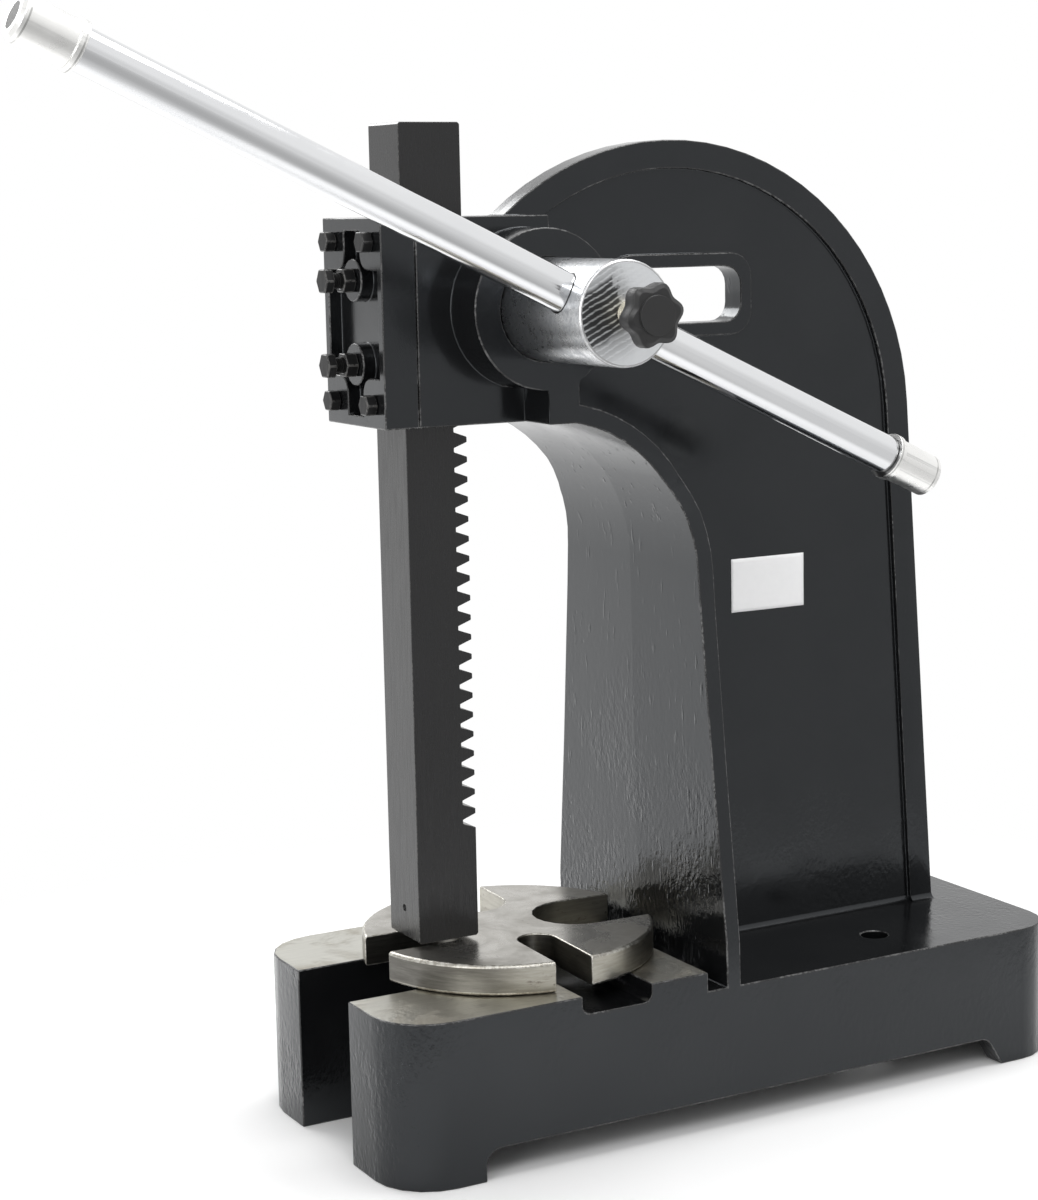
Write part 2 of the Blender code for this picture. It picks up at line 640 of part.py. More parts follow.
def frame_casting():
    """Base, flange, web, head and pinion boss in one casting."""
    frame = base_block()
    frame.name = "frame_casting"
    combine(frame, flange_plate(), "UNION")
    combine(frame, web_plate(), "UNION")

    mesh = bmesh.new()
    low = (HEAD_FRONT_Y, HEAD_BOTTOM)
    add_prism(mesh, box_outline(low, (HEAD_BACK, HEAD_TOP), 0), "X", -HEAD_HALF, HEAD_HALF)
    combine(frame, made("head_block", mesh), "UNION")
    combine(frame, boss_foot(), "UNION")
    pinion_centre = (PINION_Y, AXIS_HEIGHT)
    mesh = bmesh.new()
    profile = [(-BOSS_HALF, BOSS_RADIUS), (BOSS_HALF, BOSS_RADIUS)]
    add_turned(mesh, profile, "X", pinion_centre, ROUND_STEPS)
    combine(frame, made("boss_round", mesh), "UNION")

    mesh = bmesh.new()
    channel_low = (-CHANNEL_HALF, HEAD_FRONT_Y - OVERRUN)
    channel = box_outline(channel_low, (CHANNEL_HALF, CHANNEL_HALF), 0)
    add_prism(mesh, channel, "Z", HEAD_BOTTOM - OVERRUN, HEAD_TOP + OVERRUN)
    combine(frame, made("ram_channel", mesh), "DIFFERENCE")

    mesh = bmesh.new()
    step = GEAR_HALF + FIT
    profile = [
        (-BOSS_HALF - OVERRUN, CAP_BORE_RADIUS),
        (step, CAP_BORE_RADIUS),
        (step, HUB_RADIUS + FIT),
        (BOSS_HALF + OVERRUN, HUB_RADIUS + FIT),
    ]
    add_turned(mesh, profile, "X", pinion_centre, ROUND_STEPS)
    combine(frame, made("pinion_bore", mesh), "DIFFERENCE")

    mesh = bmesh.new()
    hole = COVER_BOLT_RADIUS + FIT
    for place in bolt_places().values():
        profile = [(HEAD_FRONT_Y - OVERRUN, hole), (HEAD_FRONT_Y + COVER_BOLT_GRIP + FIT, hole)]
        add_turned(mesh, profile, "Y", place, SMALL_ROUND_STEPS)
    hole = CAP_SCREW_RADIUS + FIT
    for place in screw_places():
        profile = [(-BOSS_HALF - OVERRUN, hole), (-BOSS_HALF + CAP_SCREW_GRIP + FIT, hole)]
        add_turned(mesh, profile, "X", place, SMALL_ROUND_STEPS)
    profile = [
        (CORE_HEIGHT - OVERRUN, BENCH_HOLE_RADIUS),
        (BASE_PAD_HEIGHT + OVERRUN, BENCH_HOLE_RADIUS),
    ]
    for side in (-BENCH_HOLE_SIDE, BENCH_HOLE_SIDE):
        add_turned(mesh, profile, "Z", (side, BENCH_HOLE_BACK), SMALL_ROUND_STEPS)
    profile = [(PIN_BOTTOM - FIT, PIN_RADIUS + FIT), (BASE_PAD_HEIGHT, PIN_RADIUS + FIT)]
    add_turned(mesh, profile, "Z", (0, PLATE_BACK), SMALL_ROUND_STEPS)
    combine(frame, made("hole_cuts", mesh), "DIFFERENCE")
    finish(frame, BLACK_PAINT)


def cover_plate():
    """The front cover: a sunk field with corner pads, borders and two round bosses."""
    mesh = bmesh.new()
    low = (-HEAD_HALF, HEAD_BOTTOM)
    high = (HEAD_HALF, HEAD_TOP)
    add_prism(mesh, box_outline(low, high, 0), "Y", COVER_FRONT_Y, COVER_BACK_Y)
    cover = made("cover_plate", mesh)

    floor = COVER_FRONT_Y + COVER_RECESS
    ahead = COVER_FRONT_Y - OVERRUN
    inner_low = (low[0] + COVER_STRIP, low[1] + COVER_STRIP)
    inner_high = (high[0] - COVER_STRIP, high[1] - COVER_TOP_BORDER)
    mesh = bmesh.new()
    add_prism(mesh, box_outline(inner_low, inner_high, 0), "Y", ahead, floor)
    field = made("cover_field", mesh)
    mesh = bmesh.new()
    for side in (-1, 1):
        inner_x = side * COVER_PAD_INNER
        outer_x = side * (HEAD_HALF + OVERRUN)
        for edge, corner in (
            (HEAD_BOTTOM - OVERRUN, inner_low[1] + COVER_PAD_HEIGHT),
            (HEAD_TOP + OVERRUN, inner_high[1] - COVER_PAD_HEIGHT),
        ):
            add_prism(mesh, rounded([
                (inner_x, edge, 0),
                (outer_x, edge, 0),
                (outer_x, corner, 0),
                (inner_x, corner, COVER_PAD_CORNER),
            ]), "Y", ahead - OVERRUN, floor + OVERRUN)
    combine(field, made("cover_pads", mesh), "DIFFERENCE")
    mesh = bmesh.new()
    for rise in (-COVER_BOSS_SPACING / 2, COVER_BOSS_SPACING / 2):
        profile = [(ahead - OVERRUN, COVER_BOSS_RADIUS), (floor + OVERRUN, COVER_BOSS_RADIUS)]
        add_turned(mesh, profile, "Y", (0, HEAD_MIDDLE + rise), SMALL_ROUND_STEPS)
    combine(field, made("cover_bosses", mesh), "DIFFERENCE")
    combine(cover, field, "DIFFERENCE")

    mesh = bmesh.new()
    pocket_half = GIB_WIDTH / 2 + FIT
    pocket_low = (-pocket_half, HEAD_BOTTOM + GIB_END_WALL)
    pocket_high = (pocket_half, HEAD_TOP - GIB_END_WALL)
    pocket = box_outline(pocket_low, pocket_high, 0)
    add_prism(mesh, pocket, "Y", GIB_FRONT_Y - FIT, COVER_BACK_Y + OVERRUN)
    combine(cover, made("gib_pocket", mesh), "DIFFERENCE")

    mesh = bmesh.new()
    hole = COVER_BOLT_RADIUS + FIT
    for place in bolt_places().values():
        profile = [(ahead, hole), (COVER_BACK_Y + OVERRUN, hole)]
        add_turned(mesh, profile, "Y", place, SMALL_ROUND_STEPS)
    hole = GIB_SCREW_RADIUS + FIT
    for rise in (-COVER_BOSS_SPACING / 2, COVER_BOSS_SPACING / 2):
        profile = [(ahead, hole), (COVER_BACK_Y + OVERRUN, hole)]
        add_turned(mesh, profile, "Y", (0, HEAD_MIDDLE + rise), SMALL_ROUND_STEPS)
    combine(cover, made("cover_holes", mesh), "DIFFERENCE")
    finish(cover, BLACK_PAINT)

    mesh = bmesh.new()
    gib_half = GIB_WIDTH / 2
    gib_low = (-gib_half, pocket_low[1] + FIT)
    gib = box_outline(gib_low, (gib_half, pocket_high[1] - FIT), 0)
    add_prism(mesh, gib, "Y", GIB_FRONT_Y, -CHANNEL_HALF)
    finish(made("gib_strip", mesh), BRONZE)


def hex_bolt(name, place, head_outer, head_back, tip, flats, radius):
    """A hexagon head screw along Y, from its head's outer face to its tip."""
    mesh = bmesh.new()
    add_prism(mesh, hexagon(flats, place), "Y", head_outer, head_back)
    bolt = made(name, mesh)
    mesh = bmesh.new()
    profile = [(head_back - EMBED, radius), (tip, radius)]
    add_turned(mesh, profile, "Y", place, SMALL_ROUND_STEPS)
    combine(bolt, made(name + "_shank", mesh), "UNION")
    return bolt


def cover_fasteners():
    """Cover bolts, gib screws and their lock nuts."""
    head_back = COVER_FRONT_Y - FIT
    tip = HEAD_FRONT_Y + COVER_BOLT_GRIP
    for name, place in bolt_places().items():
        bolt = hex_bolt(
            name, place, head_back - COVER_BOLT_HEAD, head_back, tip,
            COVER_BOLT_FLATS, COVER_BOLT_RADIUS,
        )
        finish(bolt, BLACK_STEEL)
    for word, way in (("upper", 1), ("lower", -1)):
        place = (0, HEAD_MIDDLE + way * COVER_BOSS_SPACING / 2)
        holder = axis_empty("gib_screw_axis_" + word, (0, SCREW_HEAD_BACK_Y, place[1]))
        screw = hex_bolt(
            "gib_screw_" + word, place, SCREW_HEAD_BACK_Y - GIB_SCREW_HEAD,
            SCREW_HEAD_BACK_Y, GIB_FRONT_Y - FIT, GIB_SCREW_FLATS, GIB_SCREW_RADIUS,
        )
        carry(screw, holder)
        finish(screw, BLACK_STEEL)
        nut_back = COVER_FRONT_Y - FIT
        nut_front = nut_back - LOCK_NUT_HEIGHT
        mesh = bmesh.new()
        add_prism(mesh, hexagon(GIB_SCREW_FLATS, place), "Y", nut_front, nut_back)
        nut = made("lock_nut_" + word, mesh)
        mesh = bmesh.new()
        bore = GIB_SCREW_RADIUS + FIT
        profile = [(nut_front - OVERRUN, bore), (nut_back + OVERRUN, bore)]
        add_turned(mesh, profile, "Y", place, SMALL_ROUND_STEPS)
        combine(nut, made("lock_nut_bore_" + word, mesh), "DIFFERENCE")
        finish(nut, BLACK_STEEL)


def ram():
    """The square ram with rack teeth cut across its rear face."""
    root = RAM_HALF - GEAR_MODULE * (1 + DEDENDUM_SHARE)
    lean = math.tan(PRESSURE_ANGLE)
    half_gap_tip = PITCH / 4 + GEAR_MODULE * lean
    half_gap_root = PITCH / 4 - GEAR_MODULE * DEDENDUM_SHARE * lean
    gaps_below = int((AXIS_HEIGHT - RAM_BOTTOM - RACK_ABOVE_FOOT) / PITCH)
    gaps_above = int((RAM_TOP - RACK_BELOW_TOP - AXIS_HEIGHT) / PITCH)
    outline = [
        (-RAM_HALF + RAM_CHAMFER, RAM_TOP),
        (-RAM_HALF, RAM_TOP - RAM_CHAMFER),
        (-RAM_HALF, RAM_BOTTOM + RAM_CHAMFER),
        (-RAM_HALF + RAM_CHAMFER, RAM_BOTTOM),
        (RAM_HALF - RAM_CHAMFER, RAM_BOTTOM),
        (RAM_HALF, RAM_BOTTOM + RAM_CHAMFER),
    ]
    for index in range(-gaps_below, gaps_above + 1):
        middle = AXIS_HEIGHT + index * PITCH
        outline += [
            (RAM_HALF, middle - half_gap_tip),
            (root, middle - half_gap_root),
            (root, middle + half_gap_root),
            (RAM_HALF, middle + half_gap_tip),
        ]
    outline += [
        (RAM_HALF, RAM_TOP - RAM_CHAMFER),
        (RAM_HALF - RAM_CHAMFER, RAM_TOP),
    ]
    mesh = bmesh.new()
    add_prism(mesh, outline, "X", -RAM_HALF, RAM_HALF)
    bar = made("ram", mesh)
    mesh = bmesh.new()
    profile = [(-RAM_HALF - OVERRUN, MARK_RADIUS), (-RAM_HALF + MARK_DEPTH, MARK_RADIUS)]
    add_turned(mesh, profile, "Y", (0, RAM_BOTTOM + MARK_ABOVE_FOOT), SMALL_ROUND_STEPS)
    combine(bar, made("ram_mark", mesh), "DIFFERENCE")
    carry(bar, axis_empty("ram_axis", (0, 0, RAM_BOTTOM)))
    finish(bar, BLACK_STEEL)


def pinion_outline():
    """The gear's outline, with a tooth pointing at the ram."""
    base = PITCH_RADIUS * math.cos(PRESSURE_ANGLE)
    swing = math.tan(PRESSURE_ANGLE) - PRESSURE_ANGLE
    half_tooth = (PITCH / 2 - TOOTH_BACKLASH) / (2 * PITCH_RADIUS)
    flank = [(ROOT_RADIUS, half_tooth + swing)]
    for step in range(FLANK_STEPS + 1):
        radius = base + (TIP_RADIUS - base) * step / FLANK_STEPS
        roll = math.sqrt(max(0, (radius / base) ** 2 - 1))
        flank.append((radius, half_tooth + swing - (roll - math.atan(roll))))
    points = []
    for tooth in range(PINION_TEETH):
        middle = math.pi + 2 * math.pi * tooth / PINION_TEETH
        spokes = [(radius, middle - angle) for radius, angle in flank]
        spokes += [(radius, middle + angle) for radius, angle in reversed(flank)]
        for radius, angle in spokes:
            across = PINION_Y + radius * math.cos(angle)
            points.append((across, AXIS_HEIGHT + radius * math.sin(angle)))
    return points


def pinion_shaft(holder, lever_axis):
    """Gear, far journal and near hub in one shaft, bored across for the lever."""
    centre = (PINION_Y, AXIS_HEIGHT)
    mesh = bmesh.new()
    add_prism(mesh, pinion_outline(), "X", -GEAR_HALF, GEAR_HALF)
    shaft = made("pinion_shaft", mesh)
    mesh = bmesh.new()
    add_turned(mesh, [
        (JOURNAL_END_X, JOURNAL_RADIUS - JOURNAL_CHAMFER),
        (JOURNAL_END_X + JOURNAL_CHAMFER, JOURNAL_RADIUS),
        (0, JOURNAL_RADIUS),
    ], "X", centre, ROUND_STEPS)
    combine(shaft, made("journal_far", mesh), "UNION")
    mesh = bmesh.new()
    add_turned(mesh, [
        (0, ROOT_RADIUS - FIT),
        (GEAR_HALF, ROOT_RADIUS - FIT),
        (GEAR_HALF + FIT, HUB_RADIUS),
        (HUB_END - HUB_CHAMFER, HUB_RADIUS),
        (HUB_END, HUB_RADIUS - HUB_CHAMFER),
    ], "X", centre, ROUND_STEPS)
    combine(shaft, made("hub_near", mesh), "UNION")

    mesh = bmesh.new()
    reach = HUB_RADIUS + OVERRUN
    profile = [(-reach, LEVER_HOLE_RADIUS), (reach, LEVER_HOLE_RADIUS)]
    add_turned(mesh, profile, "Y", (0, 0), SMALL_ROUND_STEPS)
    hole = made("lever_hole", mesh)
    hole.parent = lever_axis
    combine(shaft, hole, "DIFFERENCE")
    mesh = bmesh.new()
    bore = STUD_RADIUS + FIT
    profile = [(LEVER_X, bore), (HUB_END + OVERRUN, bore)]
    add_turned(mesh, profile, "X", centre, SMALL_ROUND_STEPS)
    bore = SHAFT_BOLT_RADIUS + FIT
    inner = JOURNAL_END_X + SHAFT_BOLT_GRIP + FIT
    profile = [(JOURNAL_END_X - OVERRUN, bore), (inner, bore)]
    add_turned(mesh, profile, "X", centre, SMALL_ROUND_STEPS)
    combine(shaft, made("shaft_bores", mesh), "DIFFERENCE")
    carry(shaft, holder)
    finish(shaft, TURNED_STEEL)

    mesh = bmesh.new()
    hole_radius = SHAFT_BOLT_RADIUS + FIT
    add_turned(mesh, [
        (WASHER_INNER_X, hole_radius),
        (WASHER_INNER_X, WASHER_RADIUS),
        (WASHER_OUTER_X, WASHER_RADIUS),
        (WASHER_OUTER_X, hole_radius),
    ], "X", centre, ROUND_STEPS, True)
    washer = made("shaft_washer", mesh)
    carry(washer, holder)
    finish(washer, BLACK_STEEL)

    head_inner = WASHER_OUTER_X - FIT
    mesh = bmesh.new()
    hexagon_head = hexagon(SHAFT_BOLT_FLATS, centre)
    add_prism(mesh, hexagon_head, "X", head_inner - SHAFT_BOLT_HEAD, head_inner)
    bolt = made("shaft_bolt", mesh)
    mesh = bmesh.new()
    tip = JOURNAL_END_X + SHAFT_BOLT_GRIP
    profile = [(head_inner - EMBED, SHAFT_BOLT_RADIUS), (tip, SHAFT_BOLT_RADIUS)]
    add_turned(mesh, profile, "X", centre, SMALL_ROUND_STEPS)
    combine(bolt, made("shaft_bolt_shank", mesh), "UNION")
    carry(bolt, holder)
    finish(bolt, BLACK_STEEL)


def bearing_cap():
    """The flanged sleeve that closes the pinion bore on the far side."""
    centre = (PINION_Y, AXIS_HEIGHT)
    seat = -(BOSS_HALF + FIT)
    bore = JOURNAL_RADIUS + FIT
    mesh = bmesh.new()
    add_turned(mesh, [
        (CAP_INNER_X, bore),
        (CAP_INNER_X, CAP_WALL_RADIUS),
        (seat, CAP_WALL_RADIUS),
        (seat, CAP_RADIUS),
        (CAP_OUTER_X + CAP_CHAMFER, CAP_RADIUS),
        (CAP_OUTER_X, CAP_RADIUS - CAP_CHAMFER),
        (CAP_OUTER_X, bore),
    ], "X", centre, ROUND_STEPS, True)
    cap = made("bearing_cap", mesh)
    mesh = bmesh.new()
    hole = CAP_SCREW_RADIUS + FIT
    for place in screw_places():
        profile = [(CAP_OUTER_X - OVERRUN, hole), (seat + OVERRUN, hole)]
        add_turned(mesh, profile, "X", place, SMALL_ROUND_STEPS)
    combine(cap, made("cap_holes", mesh), "DIFFERENCE")
    finish(cap, BLACK_PAINT)
    head_inner = CAP_OUTER_X - FIT
    head_outer = head_inner - CAP_SCREW_HEAD
    for number, place in enumerate(screw_places(), 1):
        mesh = bmesh.new()
        add_turned(mesh, [
            (head_outer, CAP_SCREW_HEAD_RADIUS),
            (head_inner, CAP_SCREW_HEAD_RADIUS),
            (head_inner, CAP_SCREW_RADIUS),
            (-BOSS_HALF + CAP_SCREW_GRIP, CAP_SCREW_RADIUS),
        ], "X", place, SMALL_ROUND_STEPS)
        screw = made("cap_screw_" + str(number), mesh)
        mesh = bmesh.new()
        socket = hexagon(SOCKET_FLATS, place)
        add_prism(mesh, socket, "X", head_outer - OVERRUN, head_outer + SOCKET_DEPTH)
        combine(screw, made("cap_socket_" + str(number), mesh), "DIFFERENCE")
        finish(screw, BLACK_STEEL)


def lever(lever_axis):
    """The cross bar and the two caps on its ends, made along Y on their own axis."""
    mesh = bmesh.new()
    step = END_CAP_LENGTH - END_CAP_TIP
    add_turned(mesh, [
        (-LEVER_FRONT + END_CAP_TIP + FIT, LEVER_TIP_RADIUS),
        (-LEVER_FRONT + step + FIT, LEVER_TIP_RADIUS),
        (-LEVER_FRONT + step + FIT, LEVER_RADIUS),
        (LEVER_BACK - step - FIT, LEVER_RADIUS),
        (LEVER_BACK - step - FIT, LEVER_TIP_RADIUS),
        (LEVER_BACK - END_CAP_TIP - FIT, LEVER_TIP_RADIUS),
    ], "Y", (0, 0), ROUND_STEPS)
    bar = made("lever_bar", mesh)
    bar.parent = lever_axis
    finish(bar, CHROME)
    for name, end, way in (("front", -LEVER_FRONT, 1), ("rear", LEVER_BACK, -1)):
        mesh = bmesh.new()
        bore = LEVER_TIP_RADIUS + FIT
        add_turned(mesh, [
            (end + way * step, bore),
            (end + way * step, END_CAP_RING_RADIUS),
            (end + way * (step - END_CAP_RING), END_CAP_RING_RADIUS),
            (end + way * (step - END_CAP_RING), END_CAP_RADIUS),
            (end + way * END_CAP_CHAMFER, END_CAP_RADIUS),
            (end, END_CAP_RADIUS - END_CAP_CHAMFER),
        ], "Y", (0, 0), ROUND_STEPS)
        cap = made("lever_cap_" + name, mesh)
        mesh = bmesh.new()
        profile = [(end + way * END_CAP_TIP, bore), (end + way * (step + OVERRUN), bore)]
        add_turned(mesh, profile, "Y", (0, 0), SMALL_ROUND_STEPS)
        hollow = made("lever_cap_bore_" + name, mesh)
        hollow.parent = lever_axis
        combine(cap, hollow, "DIFFERENCE")
        cap.parent = lever_axis
        finish(cap, CHROME)


def clamp_knob(holder):
    """The lobed knob and the stud that pinches the lever in the hub."""
    centre = (PINION_Y, AXIS_HEIGHT)
    collar_start = HUB_END + FIT
    stud_end = KNOB_BACK + STUD_GRIP_IN_KNOB
    mesh = bmesh.new()
    add_turned(mesh, [
        (STUD_TIP_X, STUD_RADIUS),
        (collar_start, STUD_RADIUS),
        (collar_start, STUD_COLLAR_RADIUS),
        (collar_start + STUD_COLLAR, STUD_COLLAR_RADIUS),
        (collar_start + STUD_COLLAR, STUD_RADIUS),
        (stud_end, STUD_RADIUS),
    ], "X", centre, SMALL_ROUND_STEPS)
    stud = made("knob_stud", mesh)
    carry(stud, holder)
    finish(stud, ZINC)

    outline = []
    for index in range(KNOB_STEPS):
        angle = 2 * math.pi * index / KNOB_STEPS
        wave = math.cos(KNOB_LOBES * (angle - KNOB_LOBE_TURN))
        radius = KNOB_RADIUS - KNOB_LOBE_DEPTH * (1 - wave) / 2
        outline.append((radius * math.cos(angle), radius * math.sin(angle)))
    mesh = bmesh.new()
    add_lofted(mesh, outline, "X", centre, [
        (KNOB_BACK, KNOB_EDGE),
        (KNOB_BACK + KNOB_EDGE / 2, KNOB_EDGE / 2 * (2 - math.sqrt(3))),
        (KNOB_BACK + KNOB_EDGE, 0),
        (KNOB_FRONT_X - KNOB_EDGE, 0),
        (KNOB_FRONT_X - KNOB_EDGE / 2, KNOB_EDGE / 2 * (2 - math.sqrt(3))),
        (KNOB_FRONT_X, KNOB_EDGE),
    ])
    knob = made("star_knob", mesh)
    mesh = bmesh.new()
    add_turned(mesh, [
        (KNOB_BACK - KNOB_NECK, KNOB_NECK_RADIUS),
        (KNOB_FRONT_X + KNOB_DISC_HEIGHT, KNOB_DISC_RADIUS),
    ], "X", centre, ROUND_STEPS)
    combine(knob, made("knob_core", mesh), "UNION")
    mesh = bmesh.new()
    bore = STUD_RADIUS + FIT
    profile = [(KNOB_BACK - KNOB_NECK - OVERRUN, bore), (stud_end + FIT, bore)]
    add_turned(mesh, profile, "X", centre, SMALL_ROUND_STEPS)
    combine(knob, made("knob_bore", mesh), "DIFFERENCE")
    carry(knob, holder)
    finish(knob, BLACK_PLASTIC)


def anvil_plate():
    """The round plate with four unlike slots, turning on a pin in the base."""
    centre = (0, PLATE_BACK)
    mesh = bmesh.new()
    add_turned(mesh, [
        (PLATE_BOTTOM, PLATE_RADIUS - PLATE_CHAMFER),
        (PLATE_BOTTOM + PLATE_CHAMFER, PLATE_RADIUS),
        (PLATE_TOP - PLATE_CHAMFER, PLATE_RADIUS),
        (PLATE_TOP, PLATE_RADIUS - PLATE_CHAMFER),
    ], "Z", centre, 2 * ROUND_STEPS)
    plate = made("anvil_plate", mesh)
    mesh = bmesh.new()
    for quarter, (width, inner) in enumerate(zip(PLATE_SLOT_WIDTHS, PLATE_SLOT_ENDS)):
        half = width / 2
        outer = PLATE_RADIUS + OVERRUN
        slot = arc((inner + half, 0), half, math.pi * 3 / 2, math.pi / 2, 2 * CORNER_STEPS)
        slot = slot + [(outer, half), (outer, -half)]
        turn = Matrix.Rotation(PLATE_TURN + math.pi * quarter / 2, 2)
        turned = [turn @ Vector(point) for point in slot]
        moved = [(point.x, point.y + PLATE_BACK) for point in turned]
        add_prism(mesh, moved, "Z", PLATE_BOTTOM - OVERRUN, PLATE_TOP + OVERRUN)
    combine(plate, made("plate_slots", mesh), "DIFFERENCE")
    mesh = bmesh.new()
    bore = PIN_RADIUS + FIT
    profile = [(PLATE_BOTTOM - OVERRUN, bore), (PIN_TOP + FIT, bore)]
    add_turned(mesh, profile, "Z", centre, SMALL_ROUND_STEPS)
    combine(plate, made("plate_bore", mesh), "DIFFERENCE")
    carry(plate, axis_empty("plate_axis", (0, PLATE_BACK, PLATE_BOTTOM)))
    finish(plate, GROUND_STEEL)

    mesh = bmesh.new()
    add_turned(mesh, [
        (PIN_BOTTOM, PIN_RADIUS - PIN_CHAMFER),
        (PIN_BOTTOM + PIN_CHAMFER, PIN_RADIUS),
        (PIN_TOP - PIN_CHAMFER, PIN_RADIUS),
        (PIN_TOP, PIN_RADIUS - PIN_CHAMFER),
    ], "Z", centre, SMALL_ROUND_STEPS)
    finish(made("plate_pin", mesh), TURNED_STEEL)


for item in list(bpy.data.objects):
    bpy.data.objects.remove(item, do_unlink=True)

press = bpy.data.objects.new("press", None)
bpy.context.scene.collection.objects.link(press)
press.location = (0, 0, -RAM_BOTTOM)

frame_casting()
cover_plate()
cover_fasteners()
ram()
pinion_axis = axis_empty("pinion_axis", (0, PINION_Y, AXIS_HEIGHT))
lever_axis_empty = axis_empty("lever_axis", (LEVER_X, PINION_Y, AXIS_HEIGHT))
lever_axis_empty.rotation_euler = (-LEVER_ANGLE, 0, 0)
pinion_shaft(pinion_axis, lever_axis_empty)
bearing_cap()
lever(lever_axis_empty)
knob_axis = axis_empty("knob_axis", (KNOB_BACK, PINION_Y, AXIS_HEIGHT))
clamp_knob(knob_axis)
anvil_plate()
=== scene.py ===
"""Looks for the arbor press: rounded edges, paint, steel and plating, with a plain studio."""

import math

import bmesh
import bpy
from mathutils import Matrix, Vector


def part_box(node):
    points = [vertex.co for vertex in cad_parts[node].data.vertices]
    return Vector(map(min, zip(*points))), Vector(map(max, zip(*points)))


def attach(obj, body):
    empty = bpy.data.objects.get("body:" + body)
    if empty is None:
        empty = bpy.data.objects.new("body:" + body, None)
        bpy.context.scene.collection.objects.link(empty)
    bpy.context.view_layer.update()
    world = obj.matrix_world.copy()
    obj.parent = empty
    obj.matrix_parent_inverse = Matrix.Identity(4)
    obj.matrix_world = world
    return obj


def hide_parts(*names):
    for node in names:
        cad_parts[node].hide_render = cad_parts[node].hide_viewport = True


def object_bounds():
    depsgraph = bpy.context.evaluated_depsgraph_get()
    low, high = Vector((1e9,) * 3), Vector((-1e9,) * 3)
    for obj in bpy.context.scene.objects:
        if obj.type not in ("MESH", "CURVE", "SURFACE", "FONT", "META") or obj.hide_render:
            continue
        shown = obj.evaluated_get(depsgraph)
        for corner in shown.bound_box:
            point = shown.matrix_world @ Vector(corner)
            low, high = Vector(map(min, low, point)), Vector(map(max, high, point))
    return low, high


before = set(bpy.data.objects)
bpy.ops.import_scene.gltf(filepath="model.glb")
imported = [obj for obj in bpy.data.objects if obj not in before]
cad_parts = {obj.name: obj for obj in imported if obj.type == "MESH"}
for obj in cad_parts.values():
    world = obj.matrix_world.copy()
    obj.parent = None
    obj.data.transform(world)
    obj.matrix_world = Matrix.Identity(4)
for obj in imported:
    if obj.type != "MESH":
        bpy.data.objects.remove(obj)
cad_low, cad_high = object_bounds()
scene = bpy.context.scene

# Places and sizes taken from the part, in metres. X and Y start at the ram's axis.
BENCH = cad_low.z
WEB_FACE = 0.00575
PAD_TOP = BENCH + 0.0955
LAND_BACK = 0.126
PLATE_RADIUS = 0.0863
SLOT_DEPTH = 0.022
PINION_Y = 0.046
PINION_Z = BENCH + 0.4781
HUB_START = 0.095
HUB_END = 0.1525
LEVER_X = 0.128
LEVER_HOLE_RADIUS = 0.0113
LEVER_ANGLE = math.radians(25.3)
LEVER_FRONT = 0.3446
LEVER_BACK = 0.2382
GIB_HEAD_LENGTH = 0.0058

# Detail that only the looks have, in metres
# The caps' grooves, inner shoulders and end recesses are not modelled; they are painted shade
CAP_GROOVES = (0.0042, 0.0322)
CAP_COLLAR = 0.030
CAP_HOLLOW_RADIUS = 0.0070
SAW_TILT = math.radians(27)
SAW_PITCH = 0.0031
LABEL_LOW = Vector((0.2045, BENCH + 0.286))
LABEL_HIGH = Vector((0.258, BENCH + 0.319))
LABEL_STEPS = (24, 14)
# Core radius, crest radius and pitch
GIB_THREAD = (0.0039, 0.0044, 0.00125)
STUD_THREAD = (0.0064, 0.0070, 0.00175)
THREAD_SIDES = 28

# How a CAD mesh is cleaned before its edges are rounded: vertices nearer than this are one, faces
# within this angle are one, and faces this many times smaller than their neighbours don't turn
# the normals
MERGE_DISTANCE = 0.00001
FLAT_ANGLE = math.radians(0.2)
SLIVER_RATIO = 25

# Boxes whose edges stay sharp, compared with places without their signs: corners of the casting
# that are too crowded to round, and the lever's hole in the hub
CROWDED_CORNERS = (
    ((-1, 0.333, 0.024), (0.02, 0.364, 0.036)),
    ((-1, 0.0635, 0.398), (0.0385, 0.0725, 0.4135)),
    ((-1, 0.0655, 0.3195), (0.067, 0.0727, 0.3262)),
    ((-1, 0.0385, 0.3175), (0.067, 0.0465, 0.3182)),
)
LEVER_HOLE = (((0.105, -1, -1), (0.148, 1, 1)),)

# The camera that the photo was taken with, fitted in metres, degrees and pixels
CAMERA_PLACE = Vector((1.295662, -0.633096, 0.535141 + BENCH))
CAMERA_TURN = (30.038, -8.538, -0.92)
CAMERA_FOCAL = 2541.168
CAMERA_MIDDLE = (601.2, 585.0)
IMAGE_SIZE = (1038, 1200)
SENSOR = 36

# Level directions: to the photo's right, to its camera, and to where faces that look forward
# mirror the floor for it
RIGHTWARD = (0.85, 0.52)
TO_CAMERA = (0.86, -0.51)
FAR_FRONT = (-0.86, -0.51)

# Name, place, aim, size and watts
LAMPS = (
    ("top", (0.1, 0.6, 2.0), (0, 0.12, 0.1), (1.15, 1.15), 27),
    ("left_high", (-1.9, -0.35, 1.5), (0, 0.1, 0.15), (1.4, 0.9), 25),
    ("front_strip", (1.15, -1.85, 0.55), (0, 0, 0.15), (0.6, 1.4), 14),
    ("right_high", (1.7, -0.55, 1.9), (0, 0.1, 0.15), (1.0, 1.0), 15),
)
WORLD_LIGHT = 0.55
FLOOR_RADIUS = 9.0
FLOOR_MIDDLE_Y = 0.15


# ---------------------------------------------------------------- camera

